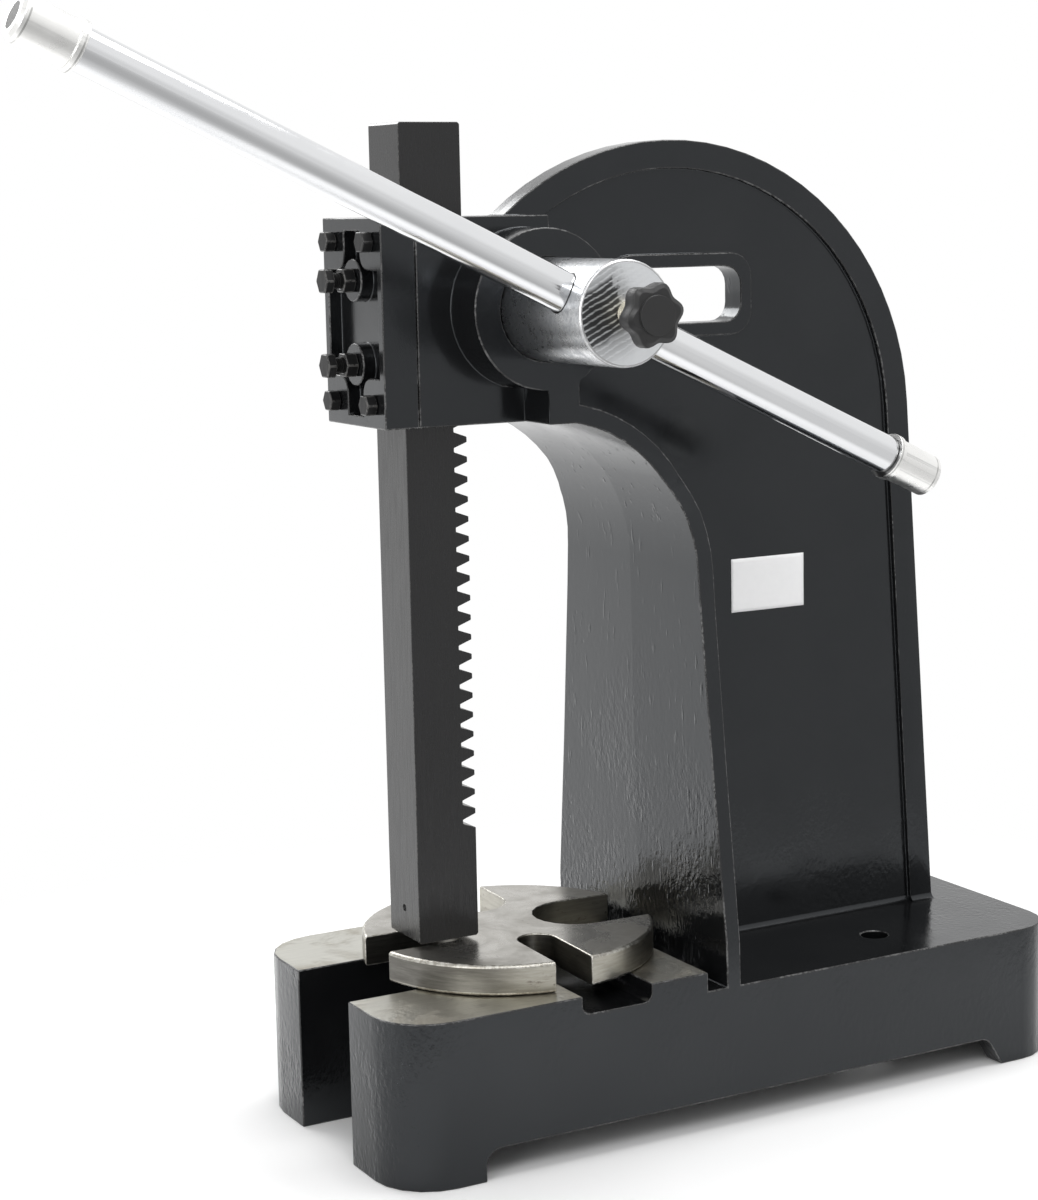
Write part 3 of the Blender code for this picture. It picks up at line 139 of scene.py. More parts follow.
def set_camera():
    """Makes the photo's camera."""
    yaw, pitch, roll = (math.radians(angle) for angle in CAMERA_TURN)
    width, height = IMAGE_SIZE
    ahead = Vector((
        -math.cos(yaw) * math.cos(pitch), math.sin(yaw) * math.cos(pitch), math.sin(pitch),
    ))
    level = ahead.cross(Vector((0, 0, 1))).normalized()
    upright = level.cross(ahead)
    right = math.cos(roll) * level + math.sin(roll) * upright
    up = math.cos(roll) * upright - math.sin(roll) * level
    turn = Matrix((right, up, -ahead)).transposed().to_4x4()
    data = bpy.data.cameras.new("camera")
    camera = bpy.data.objects.new("camera", data)
    scene.collection.objects.link(camera)
    camera.matrix_world = Matrix.Translation(CAMERA_PLACE) @ turn
    data.sensor_width = SENSOR
    data.lens = SENSOR * CAMERA_FOCAL / height
    data.shift_x = (width / 2 - CAMERA_MIDDLE[0]) / height
    data.shift_y = (CAMERA_MIDDLE[1] - height / 2) / height
    data.clip_start = 0.05
    data.clip_end = 60
    scene.camera = camera


# ---------------------------------------------------------------- nodes

def typed(sockets, name, kind):
    """The socket with this name and type: a Mix node has one of each name for each type."""
    return next(socket for socket in sockets if socket.name == name and socket.type == kind)


class Tree:
    """A node tree, with short names for the nodes used here."""

    def __init__(self, tree, place):
        self.nodes = tree.nodes
        self.links = tree.links
        self.place = self.add("TexCoord").outputs[place]

    def feed(self, socket, value):
        """Joins a node's output to the socket, or gives it a fixed value."""
        if isinstance(value, bpy.types.NodeSocket):
            self.links.new(value, socket)
        elif socket.type == "RGBA":
            socket.default_value = (*value, 1)
        else:
            socket.default_value = value

    def add(self, kind, inputs=(), **settings):
        """A new node with these settings, and its inputs by name or number."""
        node = self.nodes.new("ShaderNode" + kind)
        for name, value in settings.items():
            setattr(node, name, value)
        for key, value in dict(inputs).items():
            self.feed(node.inputs[key], value)
        return node

    def math(self, operation, *values):
        return self.add("Math", enumerate(values), operation=operation).outputs[0]

    def plus(self, first, second):
        return self.math("ADD", first, second)

    def minus(self, first, second):
        return self.math("SUBTRACT", first, second)

    def times(self, first, *others):
        """The product of numbers or masks."""
        for other in others:
            first = self.math("MULTIPLY", first, other)
        return first

    def along(self, one, two, direction):
        """How far two coordinates go in a direction."""
        return self.plus(self.times(one, direction[0]), self.times(two, direction[1]))

    def length(self, one, two):
        return self.math("SQRT", self.plus(self.times(one, one), self.times(two, two)))

    def ramp(self, value, low, high, start=0.0, end=1.0):
        """Maps a value from low-high to start-end, held at the ends and eased."""
        return self.add("MapRange", {
            "Value": value, "From Min": low, "From Max": high, "To Min": start, "To Max": end,
        }, interpolation_type="SMOOTHSTEP").outputs["Result"]

    def fall(self, value, low, high):
        """1 up to low and 0 from high on."""
        return self.ramp(value, low, high, 1.0, 0.0)

    def mix(self, share, first, second):
        """A colour mixed between two others."""
        node = self.add("Mix", {"Factor": share}, data_type="RGBA")
        self.feed(typed(node.inputs, "A", "RGBA"), first)
        self.feed(typed(node.inputs, "B", "RGBA"), second)
        return typed(node.outputs, "Result", "RGBA")

    def blend(self, share, first, second):
        """A number mixed between two others."""
        node = self.add("Mix", {"Factor": share}, data_type="FLOAT")
        self.feed(typed(node.inputs, "A", "VALUE"), first)
        self.feed(typed(node.inputs, "B", "VALUE"), second)
        return typed(node.outputs, "Result", "VALUE")

    def axes(self, vector=None):
        """The three parts of a vector, or of the place."""
        return self.add("SeparateXYZ", {0: vector or self.place}).outputs

    def facing(self):
        """The true normal's three parts."""
        return self.axes(self.add("NewGeometry").outputs["True Normal"])

    def moved(self, scale, turn=(0, 0, 0)):
        """The place, stretched and then turned."""
        return self.add("Mapping", {
            "Vector": self.place, "Scale": scale, "Rotation": turn,
        }).outputs["Vector"]

    def noise(self, scale, detail=2.0, roughness=0.5, where=None, distortion=0.0):
        return self.add("TexNoise", {
            "Vector": where or self.place, "Scale": scale, "Detail": detail,
            "Roughness": roughness, "Distortion": distortion,
        }).outputs["Fac"]

    def cells(self, scale):
        """Distance to the nearest of scattered points."""
        return self.add("TexVoronoi", {"Vector": self.place, "Scale": scale}).outputs["Distance"]


class Look(Tree):
    """A material on one Principled shader."""

    def __init__(self, name, roughness, metallic=0.0, colour=(0.8, 0.8, 0.8)):
        self.material = bpy.data.materials.new(name)
        self.material.use_nodes = True
        super().__init__(self.material.node_tree, "Object")
        self.shader = self.nodes["Principled BSDF"]
        self.set("Base Color", colour)
        self.set("Roughness", roughness)
        self.set("Metallic", metallic)

    def set(self, socket, value):
        self.feed(self.shader.inputs[socket], value)

    def relief(self, *layers):
        """Bumps laid on each other, each with its height, its depth in metres and its strength."""
        normal = None
        for height, depth, strength in layers:
            node = self.add("Bump", {"Height": height, "Distance": depth, "Strength": strength})
            if normal is not None:
                self.feed(node.inputs["Normal"], normal)
            normal = node.outputs["Normal"]
        self.set("Normal", normal)

    def about_pinion(self, angle):
        """The place from the pinion's axis: along a line that falls to the rear, and above it."""
        y = self.minus(self.axes()[1], PINION_Y)
        z = self.minus(self.axes()[2], PINION_Z)
        cosine, sine = math.cos(angle), math.sin(angle)
        return self.along(y, z, (cosine, -sine)), self.along(y, z, (sine, cosine))


# ---------------------------------------------------------------- materials

def bare_pads(look, colour, rough):
    """Bare milled steel, stained in places, on the pads that carry the anvil plate."""
    y, z = look.axes()[1:]
    on_top = look.ramp(look.facing()[2], 0.90, 0.97)
    level = look.times(look.ramp(z, PAD_TOP - 0.0009, PAD_TOP - 0.0004),
                       look.fall(z, PAD_TOP + 0.001, PAD_TOP + 0.002))
    before = look.fall(y, LAND_BACK - 0.002, LAND_BACK + 0.001)
    fray = look.ramp(look.noise(160, 3.0, 0.6), 0.2, 0.26)
    bare = look.times(on_top, level, before, fray)
    milled = look.noise(60, 4.0, 0.6, look.moved((14, 0.6, 1)))
    stain = look.ramp(look.noise(26, 4.0, 0.62, distortion=0.6), 0.42, 0.66)
    steel = look.mix(milled, (0.46, 0.43, 0.365), (0.68, 0.65, 0.57))
    steel = look.mix(look.times(stain, 0.7), steel, (0.22, 0.195, 0.155))
    look.set("Metallic", bare)
    return look.mix(bare, colour, steel), look.blend(bare, rough, look.ramp(stain, 0, 1, 0.30, 0.48))


def enamel(name, pads=False):
    """Gloss black paint on a casting: smooth above, orange peel, runs and pits low down."""
    look = Look(name, 0.2)
    look.set("Specular Tint", (0.90, 0.95, 1.0))
    x, y, z = look.axes()
    low = look.fall(z, BENCH + 0.10, BENCH + 0.33)
    frontal = look.fall(look.facing()[1], -0.9, -0.3)
    flange = look.times(frontal, look.ramp(y, 0.03, 0.06))
    lower = look.times(frontal, look.ramp(z, BENCH + 0.14, BENCH + 0.46, 1.0, 0.2))
    crease = look.minus(0.0, look.math("ABSOLUTE", x))
    drips = look.ramp(look.noise(240, 2.0, 0.5, look.moved((1, 1, 0.25))), 0.62, 0.78)
    runs = look.noise(70, 3.0, 0.6, look.moved((1, 1, 0.12)))
    peel = look.noise(330, 3.0, 0.55, look.moved((1, 1, 0.6)))
    patch = look.ramp(look.noise(24, 3.0, 0.6), 0.42, 0.62)
    peeled = look.times(low, look.plus(patch, 0.25), look.plus(0.45, frontal))
    pits = look.ramp(look.cells(80), 0.0, 0.13)
    look.relief(
        (look.noise(9, 2.0), 0.002, 0.10),
        (crease, 0.017, flange),
        (drips, 0.0004, look.times(flange, 0.6)),
        (runs, 0.0006, look.plus(0.03, look.times(lower, 0.15))),
        (peel, 0.0005, look.plus(0.06, peeled)),
        (pits, 0.0003, look.plus(0.06, look.times(lower, 0.6))),
        (look.noise(1500, 1.0), 0.00003, 0.3),
    )
    tone = look.ramp(look.noise(18, 4.0, 0.6), 0.3, 0.7)
    colour = look.mix(tone, (0.0040, 0.0042, 0.0046), (0.0062, 0.0064, 0.0068))
    rough = look.minus(look.ramp(look.noise(30, 3.0), 0.3, 0.75, 0.13, 0.22),
                       look.times(low, frontal, 0.06))
    if pads:
        colour, rough = bare_pads(look, colour, rough)
    look.set("Base Color", colour)
    look.set("Roughness", rough)
    return look.material


def worn_and_highlit_edge(name, dark, light, metallic=0.0, roughness=0.3, share=0.5):
    """The rounded edges of a finish, lighter in places: partly worn and chipped, partly a painted
    highlight for the light lines along edges.
    """
    look = Look(name, roughness, metallic)
    # Lighter patches on the edges: partly worn paint, partly painted highlight
    rubbed_and_highlight = look.ramp(look.noise(38, 3.0, 0.6), 0.68 - share / 2, 0.82 - share / 2)
    chips = look.ramp(look.noise(420, 3.0, 0.7), 0.38, 0.62)
    look.set("Base Color", look.mix(look.times(rubbed_and_highlight, chips), dark, light))
    look.set("Roughness", look.ramp(chips, 0, 1, roughness - 0.06, roughness + 0.08))
    look.relief((look.noise(600, 2.0), 0.0001, 0.4))
    return look.material


def blackened(name, colour=(0.0085, 0.0085, 0.0088), roughness=0.36, shine=0.17):
    """Black oxide on steel, faintly brushed."""
    look = Look(name, roughness)
    look.set("Specular IOR Level", shine)
    streak = look.noise(90, 4.0, 0.6, look.moved((6, 6, 0.5)))
    darker, lighter = (tuple(part * share for part in colour) for share in (0.7, 1.3))
    look.set("Base Color", look.mix(look.noise(35, 3.0), darker, lighter))
    look.set("Roughness", look.ramp(streak, 0.3, 0.7, roughness - 0.06, roughness + 0.08))
    look.relief((streak, 0.00003, 0.4), (look.noise(900, 2.0), 0.00004, 0.4))
    return look.material


def plate_steel(name):
    """Ground steel with stains and scratches, and a darker, nicked rim, with painted shade in the slots
    and low on the rim where it sits on the pads.
    """
    look = Look(name, 0.34, 1.0)
    x, y, z = look.axes()
    side = look.fall(look.math("ABSOLUTE", look.facing()[2]), 0.2, 0.6)
    cloud = look.noise(22, 5.0, 0.6, distortion=0.5)
    fine = look.noise(240, 4.0, 0.7)
    top = look.mix(look.ramp(cloud, 0.35, 0.68), (0.49, 0.475, 0.44), (0.27, 0.255, 0.225))
    top = look.mix(look.times(look.ramp(fine, 0.5, 0.75), 0.4), top, (0.26, 0.24, 0.21))
    band = look.ramp(look.noise(60, 5.0, 0.7, look.moved((0.8, 0.8, 9))), 0.3, 0.7)
    rim = look.mix(band, (0.44, 0.425, 0.375), (0.33, 0.315, 0.27))
    nick = look.ramp(look.noise(75, 6.0, 0.75, look.moved((1, 1, 3))), 0.58, 0.70)
    rim = look.mix(look.times(nick, 0.7), rim, (0.12, 0.10, 0.08))
    # Painted shade low on the rim, where the plate sits on the pads
    foot_shade = look.fall(z, PAD_TOP + 0.0005, PAD_TOP + 0.005)
    rim = look.mix(look.times(foot_shade, 0.6), rim, (0.13, 0.12, 0.10))
    # Painted shade inside the slots
    slot_shade = look.fall(look.length(x, y), PLATE_RADIUS - SLOT_DEPTH, PLATE_RADIUS - 0.0015)
    rim = look.mix(slot_shade, rim, look.mix(band, (0.17, 0.165, 0.15), (0.11, 0.105, 0.095)))
    base = look.mix(side, top, rim)
    spots = look.times(look.fall(look.cells(130), 0.05, 0.12), look.ramp(look.noise(28), 0.5, 0.6), 0.6)
    look.set("Base Color", look.mix(spots, base, (0.10, 0.085, 0.07)))
    look.set("Roughness", look.blend(side, look.ramp(cloud, 0.3, 0.7, 0.22, 0.38), 0.34))
    scratches = look.noise(130, 4.0, 0.7, look.moved((7, 0.5, 1), (0, 0, 0.7)))
    look.relief(
        (look.noise(30, 3.0), 0.0006, 0.35),
        (fine, 0.00010, look.blend(side, 0.25, 0.6)),
        (scratches, 0.00005, 0.4),
    )
    return look.material


def chrome(name):
    """Bright plating with faint drawing marks."""
    look = Look(name, 0.08, 1.0)
    look.set("Base Color", look.mix(look.noise(18, 3.0), (0.73, 0.74, 0.755), (0.79, 0.795, 0.805)))
    look.set("Roughness", look.ramp(look.noise(40, 3.0), 0.3, 0.7, 0.05, 0.13))
    lines = look.noise(1.0, 3.0, 0.6, look.moved((260, 1.2, 260), (LEVER_ANGLE, 0, 0)))
    look.relief((lines, 0.00005, 0.35))
    return look.material


def satin(name):
    """White satin plating on the lever's caps, with drawing lines; the grooves, the inner shoulder beside
    the bar and a recess in each end are painted shade.
    """
    look = Look(name, 0.28, 1.0)
    ahead, upward = look.facing()[1:]
    lengthwise = look.along(ahead, upward, (math.cos(LEVER_ANGLE), -math.sin(LEVER_ANGLE)))
    end = look.ramp(look.math("ABSOLUTE", lengthwise), 0.8, 0.9)
    along, above = look.about_pinion(LEVER_ANGLE)
    beside = look.minus(look.axes()[0], LEVER_X)
    # A dark disc of painted shade stands for the recess in each end
    hollow_shade = look.times(end, look.fall(look.length(beside, above), CAP_HOLLOW_RADIUS,
                                       CAP_HOLLOW_RADIUS + 0.0005))
    to_end = look.math("MINIMUM", look.plus(along, LEVER_FRONT), look.minus(LEVER_BACK, along))
    # Dark rings of painted shade stand for the grooves
    groove_shade = 0.0
    for place in CAP_GROOVES:
        gap = look.math("ABSOLUTE", look.minus(to_end, place))
        groove_shade = look.math("MAXIMUM", groove_shade, look.fall(gap, 0.0003, 0.0006))
    groove_shade = look.times(groove_shade, look.ramp(look.noise(150, 3.0), 0.35, 0.6, 0.25, 0.9))
    # The cap's inner shoulder beside the bar is darkened as painted shade
    collar_shade = look.times(end, look.ramp(to_end, CAP_COLLAR, CAP_COLLAR + 0.002))
    drawn = look.add("CombineXYZ", {
        0: look.times(beside, 300), 1: look.times(along, 4), 2: look.times(above, 300),
    }).outputs[0]
    lines = look.ramp(look.noise(1.0, 3.0, 0.6, drawn), 0.52, 0.70)
    base = look.mix(lines, (0.88, 0.877, 0.86), (0.68, 0.68, 0.67))
    base = look.mix(look.times(collar_shade, 0.85), base, (0.12, 0.12, 0.12))
    base = look.mix(look.times(groove_shade, 0.8), base, (0.30, 0.30, 0.29))
    look.set("Base Color", look.mix(hollow_shade, base, (0.035, 0.035, 0.034)))
    rough = look.ramp(look.noise(60, 3.0), 0.3, 0.7, 0.24, 0.36)
    look.set("Roughness", look.blend(hollow_shade, rough, 0.5))
    look.relief((look.noise(500, 3.0), 0.00004, 0.4))
    return look.material


def saw_marks(look):
    """Saw lines on the hub's end: their height, and how dark a cut patch of them is."""
    along, over = look.about_pinion(-SAW_TILT)
    waver = look.noise(60, 3.0, 0.6)
    phase = look.plus(look.times(over, 2 * math.pi / SAW_PITCH), look.times(waver, 7.0))
    wave = look.plus(look.times(look.math("SINE", phase), 0.5), 0.5)
    fine = look.noise(1.0, 3.0, 0.6, look.moved((1, 60, 1500), (-SAW_TILT, 0, 0)))
    saw = look.plus(look.times(wave, 0.50), look.times(fine, 0.62))
    fray = look.times(look.minus(look.noise(260, 3.0, 0.7), 0.5), 0.016)
    ragged = look.plus(along, fray)
    patch = look.times(
        look.fall(ragged, -0.001, 0.004),
        look.ramp(look.plus(over, look.times(waver, 0.008)), -0.006, 0.0),
        look.fall(look.plus(over, look.times(waver, 0.006)), 0.0225, 0.026),
    )
    faint = look.times(look.fall(ragged, 0.002, 0.012), look.ramp(over, -0.022, -0.012), 0.28)
    return saw, look.times(look.math("MAXIMUM", patch, faint), look.ramp(saw, 0.26, 0.52))


def turned(name):
    """Turned and plated steel: rings round the side, saw marks across the end, and painted shade near the
    frame and round the lever's hole.
    """
    look = Look(name, 0.22, 1.0)
    x = look.axes()[0]
    end = look.times(look.ramp(look.facing()[0], 0.9, 0.98),
                     look.ramp(x, HUB_END - 0.006, HUB_END - 0.002))
    saw, cut = saw_marks(look)
    mottle = look.noise(110, 6.0, 0.8)
    base = look.mix(look.ramp(mottle, 0.40, 0.66), (0.74, 0.75, 0.76), (0.42, 0.435, 0.455))
    # Painted shade: darker towards the frame, where the hub leaves the boss
    root_shade = look.ramp(x, HUB_START, HUB_END - 0.0075, 0.55, 0.0)
    base = look.mix(root_shade, base, (0.16, 0.165, 0.18))
    base = look.mix(look.times(end, 0.9), base, (0.74, 0.755, 0.77))
    base = look.mix(look.times(end, cut, 0.92), base, (0.030, 0.030, 0.032))
    bore = look.length(look.minus(x, LEVER_X), look.about_pinion(LEVER_ANGLE)[1])
    # Painted shade in a thin ring round the lever where it enters the hub
    hole_shade = look.fall(bore, LEVER_HOLE_RADIUS + 0.0002, LEVER_HOLE_RADIUS + 0.0008)
    look.set("Base Color", look.mix(hole_shade, base, (0.02, 0.02, 0.02)))
    look.set("Roughness", look.plus(look.ramp(mottle, 0.3, 0.7, 0.24, 0.34), look.times(end, 0.17)))
    rings = look.noise(1.0, 3.0, 0.6, look.moved((700, 3, 3)))
    look.relief(
        (look.noise(150, 4.0, 0.6), 0.0002, 0.30),
        (rings, 0.00006, look.minus(0.5, look.times(end, 0.5))),
        (saw, 0.0002, look.times(end, 0.3)),
    )
    return look.material


def plastic(name):
    """Satin moulded plastic."""
    look = Look(name, 0.42)
    look.set("Base Color", look.mix(look.noise(60, 3.0), (0.0075, 0.0075, 0.0078), (0.012, 0.012, 0.0125)))
    look.set("Roughness", look.ramp(look.noise(90, 3.0), 0.3, 0.7, 0.34, 0.48))
    look.relief((look.noise(1300, 2.0), 0.00005, 0.5))
    return look.material


def zinc(name):
    """Yellowish zinc plating."""
    look = Look(name, 0.25, 1.0)
    look.set("Base Color", look.mix(look.noise(160, 4.0, 0.6), (0.72, 0.69, 0.58), (0.50, 0.46, 0.36)))
    look.set("Roughness", look.ramp(look.noise(260, 3.0), 0.3, 0.7, 0.15, 0.35))
    look.relief((look.noise(700, 2.0), 0.00006, 0.4))
    return look.material


def bronze(name):
    """Machined bronze, in the dark behind the cover."""
    look = Look(name, 0.35, 1.0)
    look.set("Base Color", look.mix(look.noise(80, 3.0), (0.44, 0.29, 0.13), (0.30, 0.20, 0.09)))
    look.relief((look.noise(200, 3.0, 0.5, look.moved((8, 1, 1))), 0.00008, 0.5))
    return look.material


def paper(name):
    """A blank white label with a slight gloss."""
    look = Look(name, 0.38)
    look.set("Base Color", look.mix(look.noise(300, 4.0, 0.6), (0.84, 0.84, 0.845), (0.89, 0.89, 0.895)))
    look.relief((look.noise(90, 3.0), 0.0002, 0.3))
    return look.material


# ---------------------------------------------------------------- pieces

def new_object(name, mesh, materials):
    """An object in the scene with the shape of a bmesh, which is freed."""
    data = bpy.data.meshes.new(name)
    mesh.to_mesh(data)
    mesh.free()
    for material in materials:
        data.materials.append(material)
    made = bpy.data.objects.new(name, data)
    scene.collection.objects.link(made)
    return made


def to_round(edge, angle, sharp):
    """True for an edge that is rounded: one with a real angle, outside the boxes left sharp."""
    if edge.calc_face_angle(0) <= angle:
        return False
    for low, high in sharp:
        if all(a < abs(part) < b for vertex in edge.verts for part, a, b in zip(vertex.co, low, high)):
            return False
    return True


def wear_and_highlight_outer(mesh, old):
    """Gives the second material to roundings that stand out, and the first to fillets."""
    for face in mesh.faces:
        if face in old:
            continue
        dip = 0.0
        for edge in face.edges:
            for other in edge.link_faces:
                if other in old:
                    dip = (face.calc_center_median() - edge.verts[0].co).dot(other.normal)
        face.material_index = int(dip <= 0)


def smooth_normals(mesh, old, angle):
    """A normal for each face corner: flat faces stay flat, curved ones and roundings are smooth."""
    limit = math.cos(angle)
    areas = {face: face.calc_area() for face in mesh.faces}

    def average(faces, vertex):
        total = Vector()
        for face in faces:
            for loop in face.loops:
                if loop.vert is vertex:
                    total += face.normal * loop.calc_angle()
        return total.normalized() if total.length > 0 else Vector((0, 0, 1))

    normals = []
    for face in mesh.faces:
        for loop in face.loops:
            around = loop.vert.link_faces
            kept = [other for other in around if other in old]
            if face not in old and kept:
                nearest = max(kept, key=lambda other: other.normal.dot(face.normal))
            else:
                nearest = face
            if nearest in old:
                around = [other for other in kept if other.normal.dot(nearest.normal) > limit]
                least = max(areas[other] for other in around) / SLIVER_RATIO
                around = [other for other in around if areas[other] >= least]
            normals.append(average(around, loop.vert))
    return normals


def edged(node, body, materials, width, angle=30, sharp=()):
    """A copy of a CAD node with its faces cleaned and its edges rounded, riding on its body.

    The first material is for the faces and the last for the rounded edges. Edges inside one of
    the boxes in sharp, which count without signs, stay sharp.
    """
    angle = math.radians(angle)
    mesh = bmesh.new()
    mesh.from_mesh(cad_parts[node].data)
    bmesh.ops.remove_doubles(mesh, verts=mesh.verts, dist=MERGE_DISTANCE)
    bmesh.ops.dissolve_limit(
        mesh, angle_limit=FLAT_ANGLE, verts=mesh.verts, edges=mesh.edges, delimit={"NORMAL"},
    )
    mesh.normal_update()
    chosen = [edge for edge in mesh.edges if to_round(edge, angle, sharp)]
    for face in mesh.faces:
        face.material_index = 0
        face.smooth = True
    made = bmesh.ops.bevel(
        mesh, geom=chosen, offset=width, segments=2, profile=0.5, affect="EDGES",
        clamp_overlap=False, loop_slide=False, material=-1,
    )
    mesh.normal_update()
    new = set(made["faces"])
    old = {face for face in mesh.faces if face not in new}
    if len(materials) > 1:
        wear_and_highlight_outer(mesh, old)
    normals = smooth_normals(mesh, old, angle)
    piece = new_object(node + "_finished", mesh, materials)
    piece.data.normals_split_custom_set(normals)
    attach(piece, body)
    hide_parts(node)


def repaint(node, material):
    """A new material on a CAD node that keeps its shape."""
    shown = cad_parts[node]
    for place in shown.material_slots:
        place.material = material


def join_rows(mesh, rows, closed):
    """Faces between neighbouring rows of vertices, which are rings where closed."""
    for first, second in zip(rows, rows[1:]):
        for index in range(len(first) if closed else len(first) - 1):
            after = (index + 1) % len(first)
            mesh.faces.new((first[index], first[after], second[after], second[index]))


def label():
    """The blank sheet stuck on the web's near panel, lifting slightly in waves."""
    across, up = LABEL_STEPS
    mesh = bmesh.new()
    rows = []
    for row in range(up + 1):
        line = []
        for column in range(across + 1):
            y = LABEL_LOW.x + (LABEL_HIGH.x - LABEL_LOW.x) * column / across
            z = LABEL_LOW.y + (LABEL_HIGH.y - LABEL_LOW.y) * row / up
            lift = 0.00012 + 0.00008 * math.sin(column * 0.9) * math.sin(row * 0.7)
            line.append(mesh.verts.new((WEB_FACE + lift, y, z)))
        rows.append(line)
    join_rows(mesh, rows, closed=False)
    bmesh.ops.recalc_face_normals(mesh, faces=mesh.faces)
    piece = new_object("label", mesh, (paper("label"),))
    piece.data.shade_smooth()
    step = piece.modifiers.new("thickness", "SOLIDIFY")
    step.thickness = 0.0001
    step.offset = 1
    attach(piece, "frame")


def threads(name, body, material, axis, centre, start, end, size):
    """Rolled thread ridges round a bare stretch of a screw, along X or Y."""
    core, crest, pitch = size
    turns = max(1, round((end - start) / pitch))
    step = (end - start) / turns
    profile = []
    for index in range(turns):
        low = start + (end - start) * index / turns
        profile += [(low, core), (low + step * 0.38, crest), (low + step * 0.62, crest)]
    profile.append((end, core))
    mesh = bmesh.new()
    rows = []
    for along, radius in profile:
        row = []
        for index in range(THREAD_SIDES):
            turn = 2 * math.pi * index / THREAD_SIDES
            one, two = centre[0] + radius * math.cos(turn), centre[1] + radius * math.sin(turn)
            row.append(mesh.verts.new((along, one, two) if axis == "X" else (one, along, two)))
        rows.append(row)
    join_rows(mesh, rows, closed=True)
    mesh.faces.new(rows[0])
    mesh.faces.new(rows[-1])
    bmesh.ops.recalc_face_normals(mesh, faces=mesh.faces)
    piece = new_object(name, mesh, (material,))
    piece.data.shade_smooth()
    piece.data.set_sharp_from_angle(angle=math.radians(50))
    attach(piece, body)


def dress():
    """Gives every CAD node its finish. The numbers are the widths of the rounded edges."""
    # The light colour of each edge finish is partly wear and partly painted highlight along the rounded
    # edges
    paint_edge = worn_and_highlit_edge("paint_edge", (0.011, 0.011, 0.0115), (0.10, 0.10, 0.10), 0.0, 0.26)
    paint = (enamel("cover_paint"), paint_edge)
    casting = (enamel("casting_paint", pads=True), paint_edge)
    oxide_edge = worn_and_highlit_edge("oxide_edge", (0.016, 0.016, 0.016), (0.07, 0.068, 0.065))
    oxide = (blackened("black_oxide"), oxide_edge)
    thread_oxide = blackened("thread_oxide", (0.006, 0.006, 0.006), 0.6, 0.08)
    bar_oxide = (blackened("ram_oxide", (0.0055, 0.0055, 0.0060), 0.26, 0.5), oxide_edge)
    plate = (plate_steel("plate_steel"),
             worn_and_highlit_edge("plate_edge", (0.30, 0.285, 0.25), (0.52, 0.51, 0.47), 1.0, 0.36, 0.7))
    bright = (turned("turned_steel"),
              worn_and_highlit_edge("turned_edge", (0.42, 0.42, 0.425), (0.60, 0.60, 0.60), 1.0, 0.38))
    plated = (chrome("plating"),)
    caps = (satin("cap_plating"),)
    galvanised = (zinc("stud_zinc"),)
    edged("frame_casting", "frame", casting, 0.0008, sharp=CROWDED_CORNERS)
    edged("cover_plate", "frame", paint, 0.0008)
    edged("ram", "ram_body", bar_oxide, 0.0004, angle=40)
    edged("anvil_plate", "plate", plate, 0.0008)
    for name in ("upper_left", "upper_right", "lower_left", "lower_right"):
        edged("cover_bolt_" + name, "frame", oxide, 0.0008)
    for name in ("upper", "lower"):
        edged("lock_nut_" + name, "frame", oxide, 0.0008)
    for name, body in (("upper", "gib_screw_top"), ("lower", "gib_screw_bottom")):
        edged("gib_screw_" + name, body, oxide, 0.0008)
        head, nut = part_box("gib_screw_" + name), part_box("lock_nut_" + name)
        middle = ((nut[0][0] + nut[1][0]) / 2, (nut[0][2] + nut[1][2]) / 2)
        threads("gib_thread_" + name, body, thread_oxide, "Y", middle,
                head[0][1] + GIB_HEAD_LENGTH, nut[0][1] - 0.0003, GIB_THREAD)
    for number in "123":
        edged("cap_screw_" + number, "frame", oxide, 0.0004)
    edged("bearing_cap", "frame", paint, 0.0003)
    edged("pinion_shaft", "pinion", bright, 0.0005, sharp=LEVER_HOLE)
    edged("shaft_washer", "pinion", oxide, 0.0005)
    edged("shaft_bolt", "pinion", oxide, 0.0006)
    edged("star_knob", "knob", (plastic("knob_plastic"),), 0.0003)
    edged("knob_stud", "knob", galvanised, 0.0005)
    threads("stud_thread", "knob", galvanised[0], "X", (PINION_Y, PINION_Z),
            HUB_END + 0.0012, HUB_END + 0.0098, STUD_THREAD)
    edged("lever_bar", "lever", plated, 0.0003)
    for node in ("lever_cap_front", "lever_cap_rear"):
        edged(node, "lever", caps, 0.0003)
    repaint("gib_strip", bronze("gib_bronze"))
    repaint("plate_pin", bright[0])
    label()


# ---------------------------------------------------------------- studio

def rays(tree):
    """A mask of camera, mirror and see-through rays, and one of mirror rays alone."""
    path = tree.add("LightPath").outputs
    mirror = path["Is Glossy Ray"]
    either = tree.math("MAXIMUM", path["Is Camera Ray"], mirror)
    return tree.math("MAXIMUM", either, path["Is Transmission Ray"]), mirror


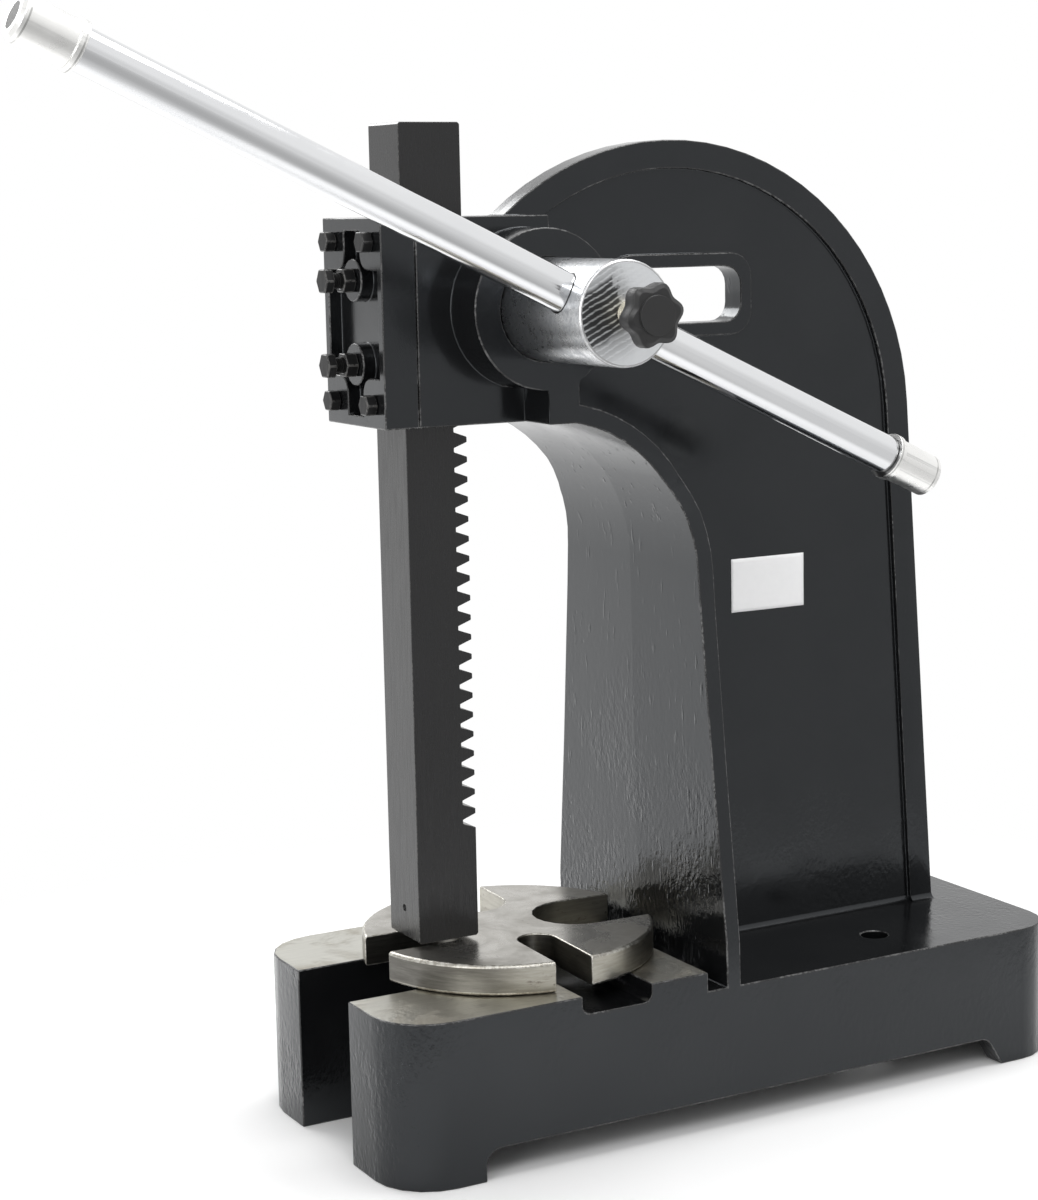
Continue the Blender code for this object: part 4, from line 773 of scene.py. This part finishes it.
def surround():
    """A world that is white to look at and lights evenly.

    Mirror rays find it a little greyer near the horizon on the right, and to the camera's side.
    """
    world = bpy.data.worlds.new("surround")
    scene.world = world
    world.use_nodes = True
    tree = Tree(world.node_tree, "Generated")
    x, y, z = tree.axes()
    right = tree.times(tree.ramp(tree.along(x, y, RIGHTWARD), 0.5, 0.85),
                       tree.fall(tree.math("ABSOLUTE", z), 0.10, 0.42))
    front = tree.times(tree.ramp(tree.along(x, y, TO_CAMERA), 0.6, 0.95), 1.1)
    direct, mirror = rays(tree)
    white = tree.minus(1.0, tree.times(tree.math("MAXIMUM", right, front), mirror, 0.18))
    light = tree.nodes["Background"].inputs
    tree.feed(light["Color"], (1, 1, 1))
    tree.feed(light["Strength"], tree.blend(direct, WORLD_LIGHT, white))


def floor():
    """A pale floor that takes the shadow near the object and is plain white far off.

    Mirror rays find its white greyer on the right and to the camera's side, and brighter at the
    far front and close by on the left.
    """
    mesh = bmesh.new()
    bmesh.ops.create_circle(mesh, cap_ends=True, segments=96, radius=FLOOR_RADIUS)
    look = Look("floor", 0.7, 0.0, (0.93, 0.93, 0.93))
    look.set("Specular IOR Level", 0.1)
    x, y = look.axes()[:2]
    y = look.minus(y, FLOOR_MIDDLE_Y)
    away = look.length(x, y)
    rightward = look.along(x, y, RIGHTWARD)
    to_camera = look.math("DIVIDE", look.along(x, y, TO_CAMERA), away)
    far_front = look.math("DIVIDE", look.along(x, y, FAR_FRONT), away)
    greyer = look.plus(look.ramp(rightward, 0.0, 0.6, 0.0, 0.24),
                       look.ramp(to_camera, 0.6, 0.95, 0.0, 0.24))
    near_left = look.times(look.fall(away, 1.0, 1.9), look.fall(rightward, -0.3, 0.0))
    brighter = look.math("MAXIMUM", look.ramp(far_front, 0.88, 0.97), near_left)
    greyer = look.minus(greyer, look.times(brighter, 0.44))
    direct, mirror = rays(look)
    white = look.add("Emission", {"Strength": look.minus(1.0, look.times(mirror, greyer))})
    far = look.times(direct, look.ramp(away, 0.36, 0.66))
    mixed = look.add("MixShader", {0: far, 1: look.shader.outputs[0], 2: white.outputs[0]})
    look.feed(look.nodes["Material Output"].inputs["Surface"], mixed.outputs[0])
    stage = new_object("floor", mesh, (look.material,))
    stage.location = (0, 0, BENCH)


def studio():
    """The surround, the floor and soft lamps."""
    surround()
    floor()
    for name, place, aim, size, power in LAMPS:
        data = bpy.data.lights.new(name, "AREA")
        data.shape = "RECTANGLE"
        data.size, data.size_y = size
        data.energy = power
        lamp = bpy.data.objects.new(name, data)
        scene.collection.objects.link(lamp)
        lamp.location = place
        way = Vector(aim) - Vector(place)
        lamp.rotation_euler = way.to_track_quat("-Z", "Y").to_euler()
    scene.view_settings.view_transform = "Standard"


set_camera()
dress()
studio()
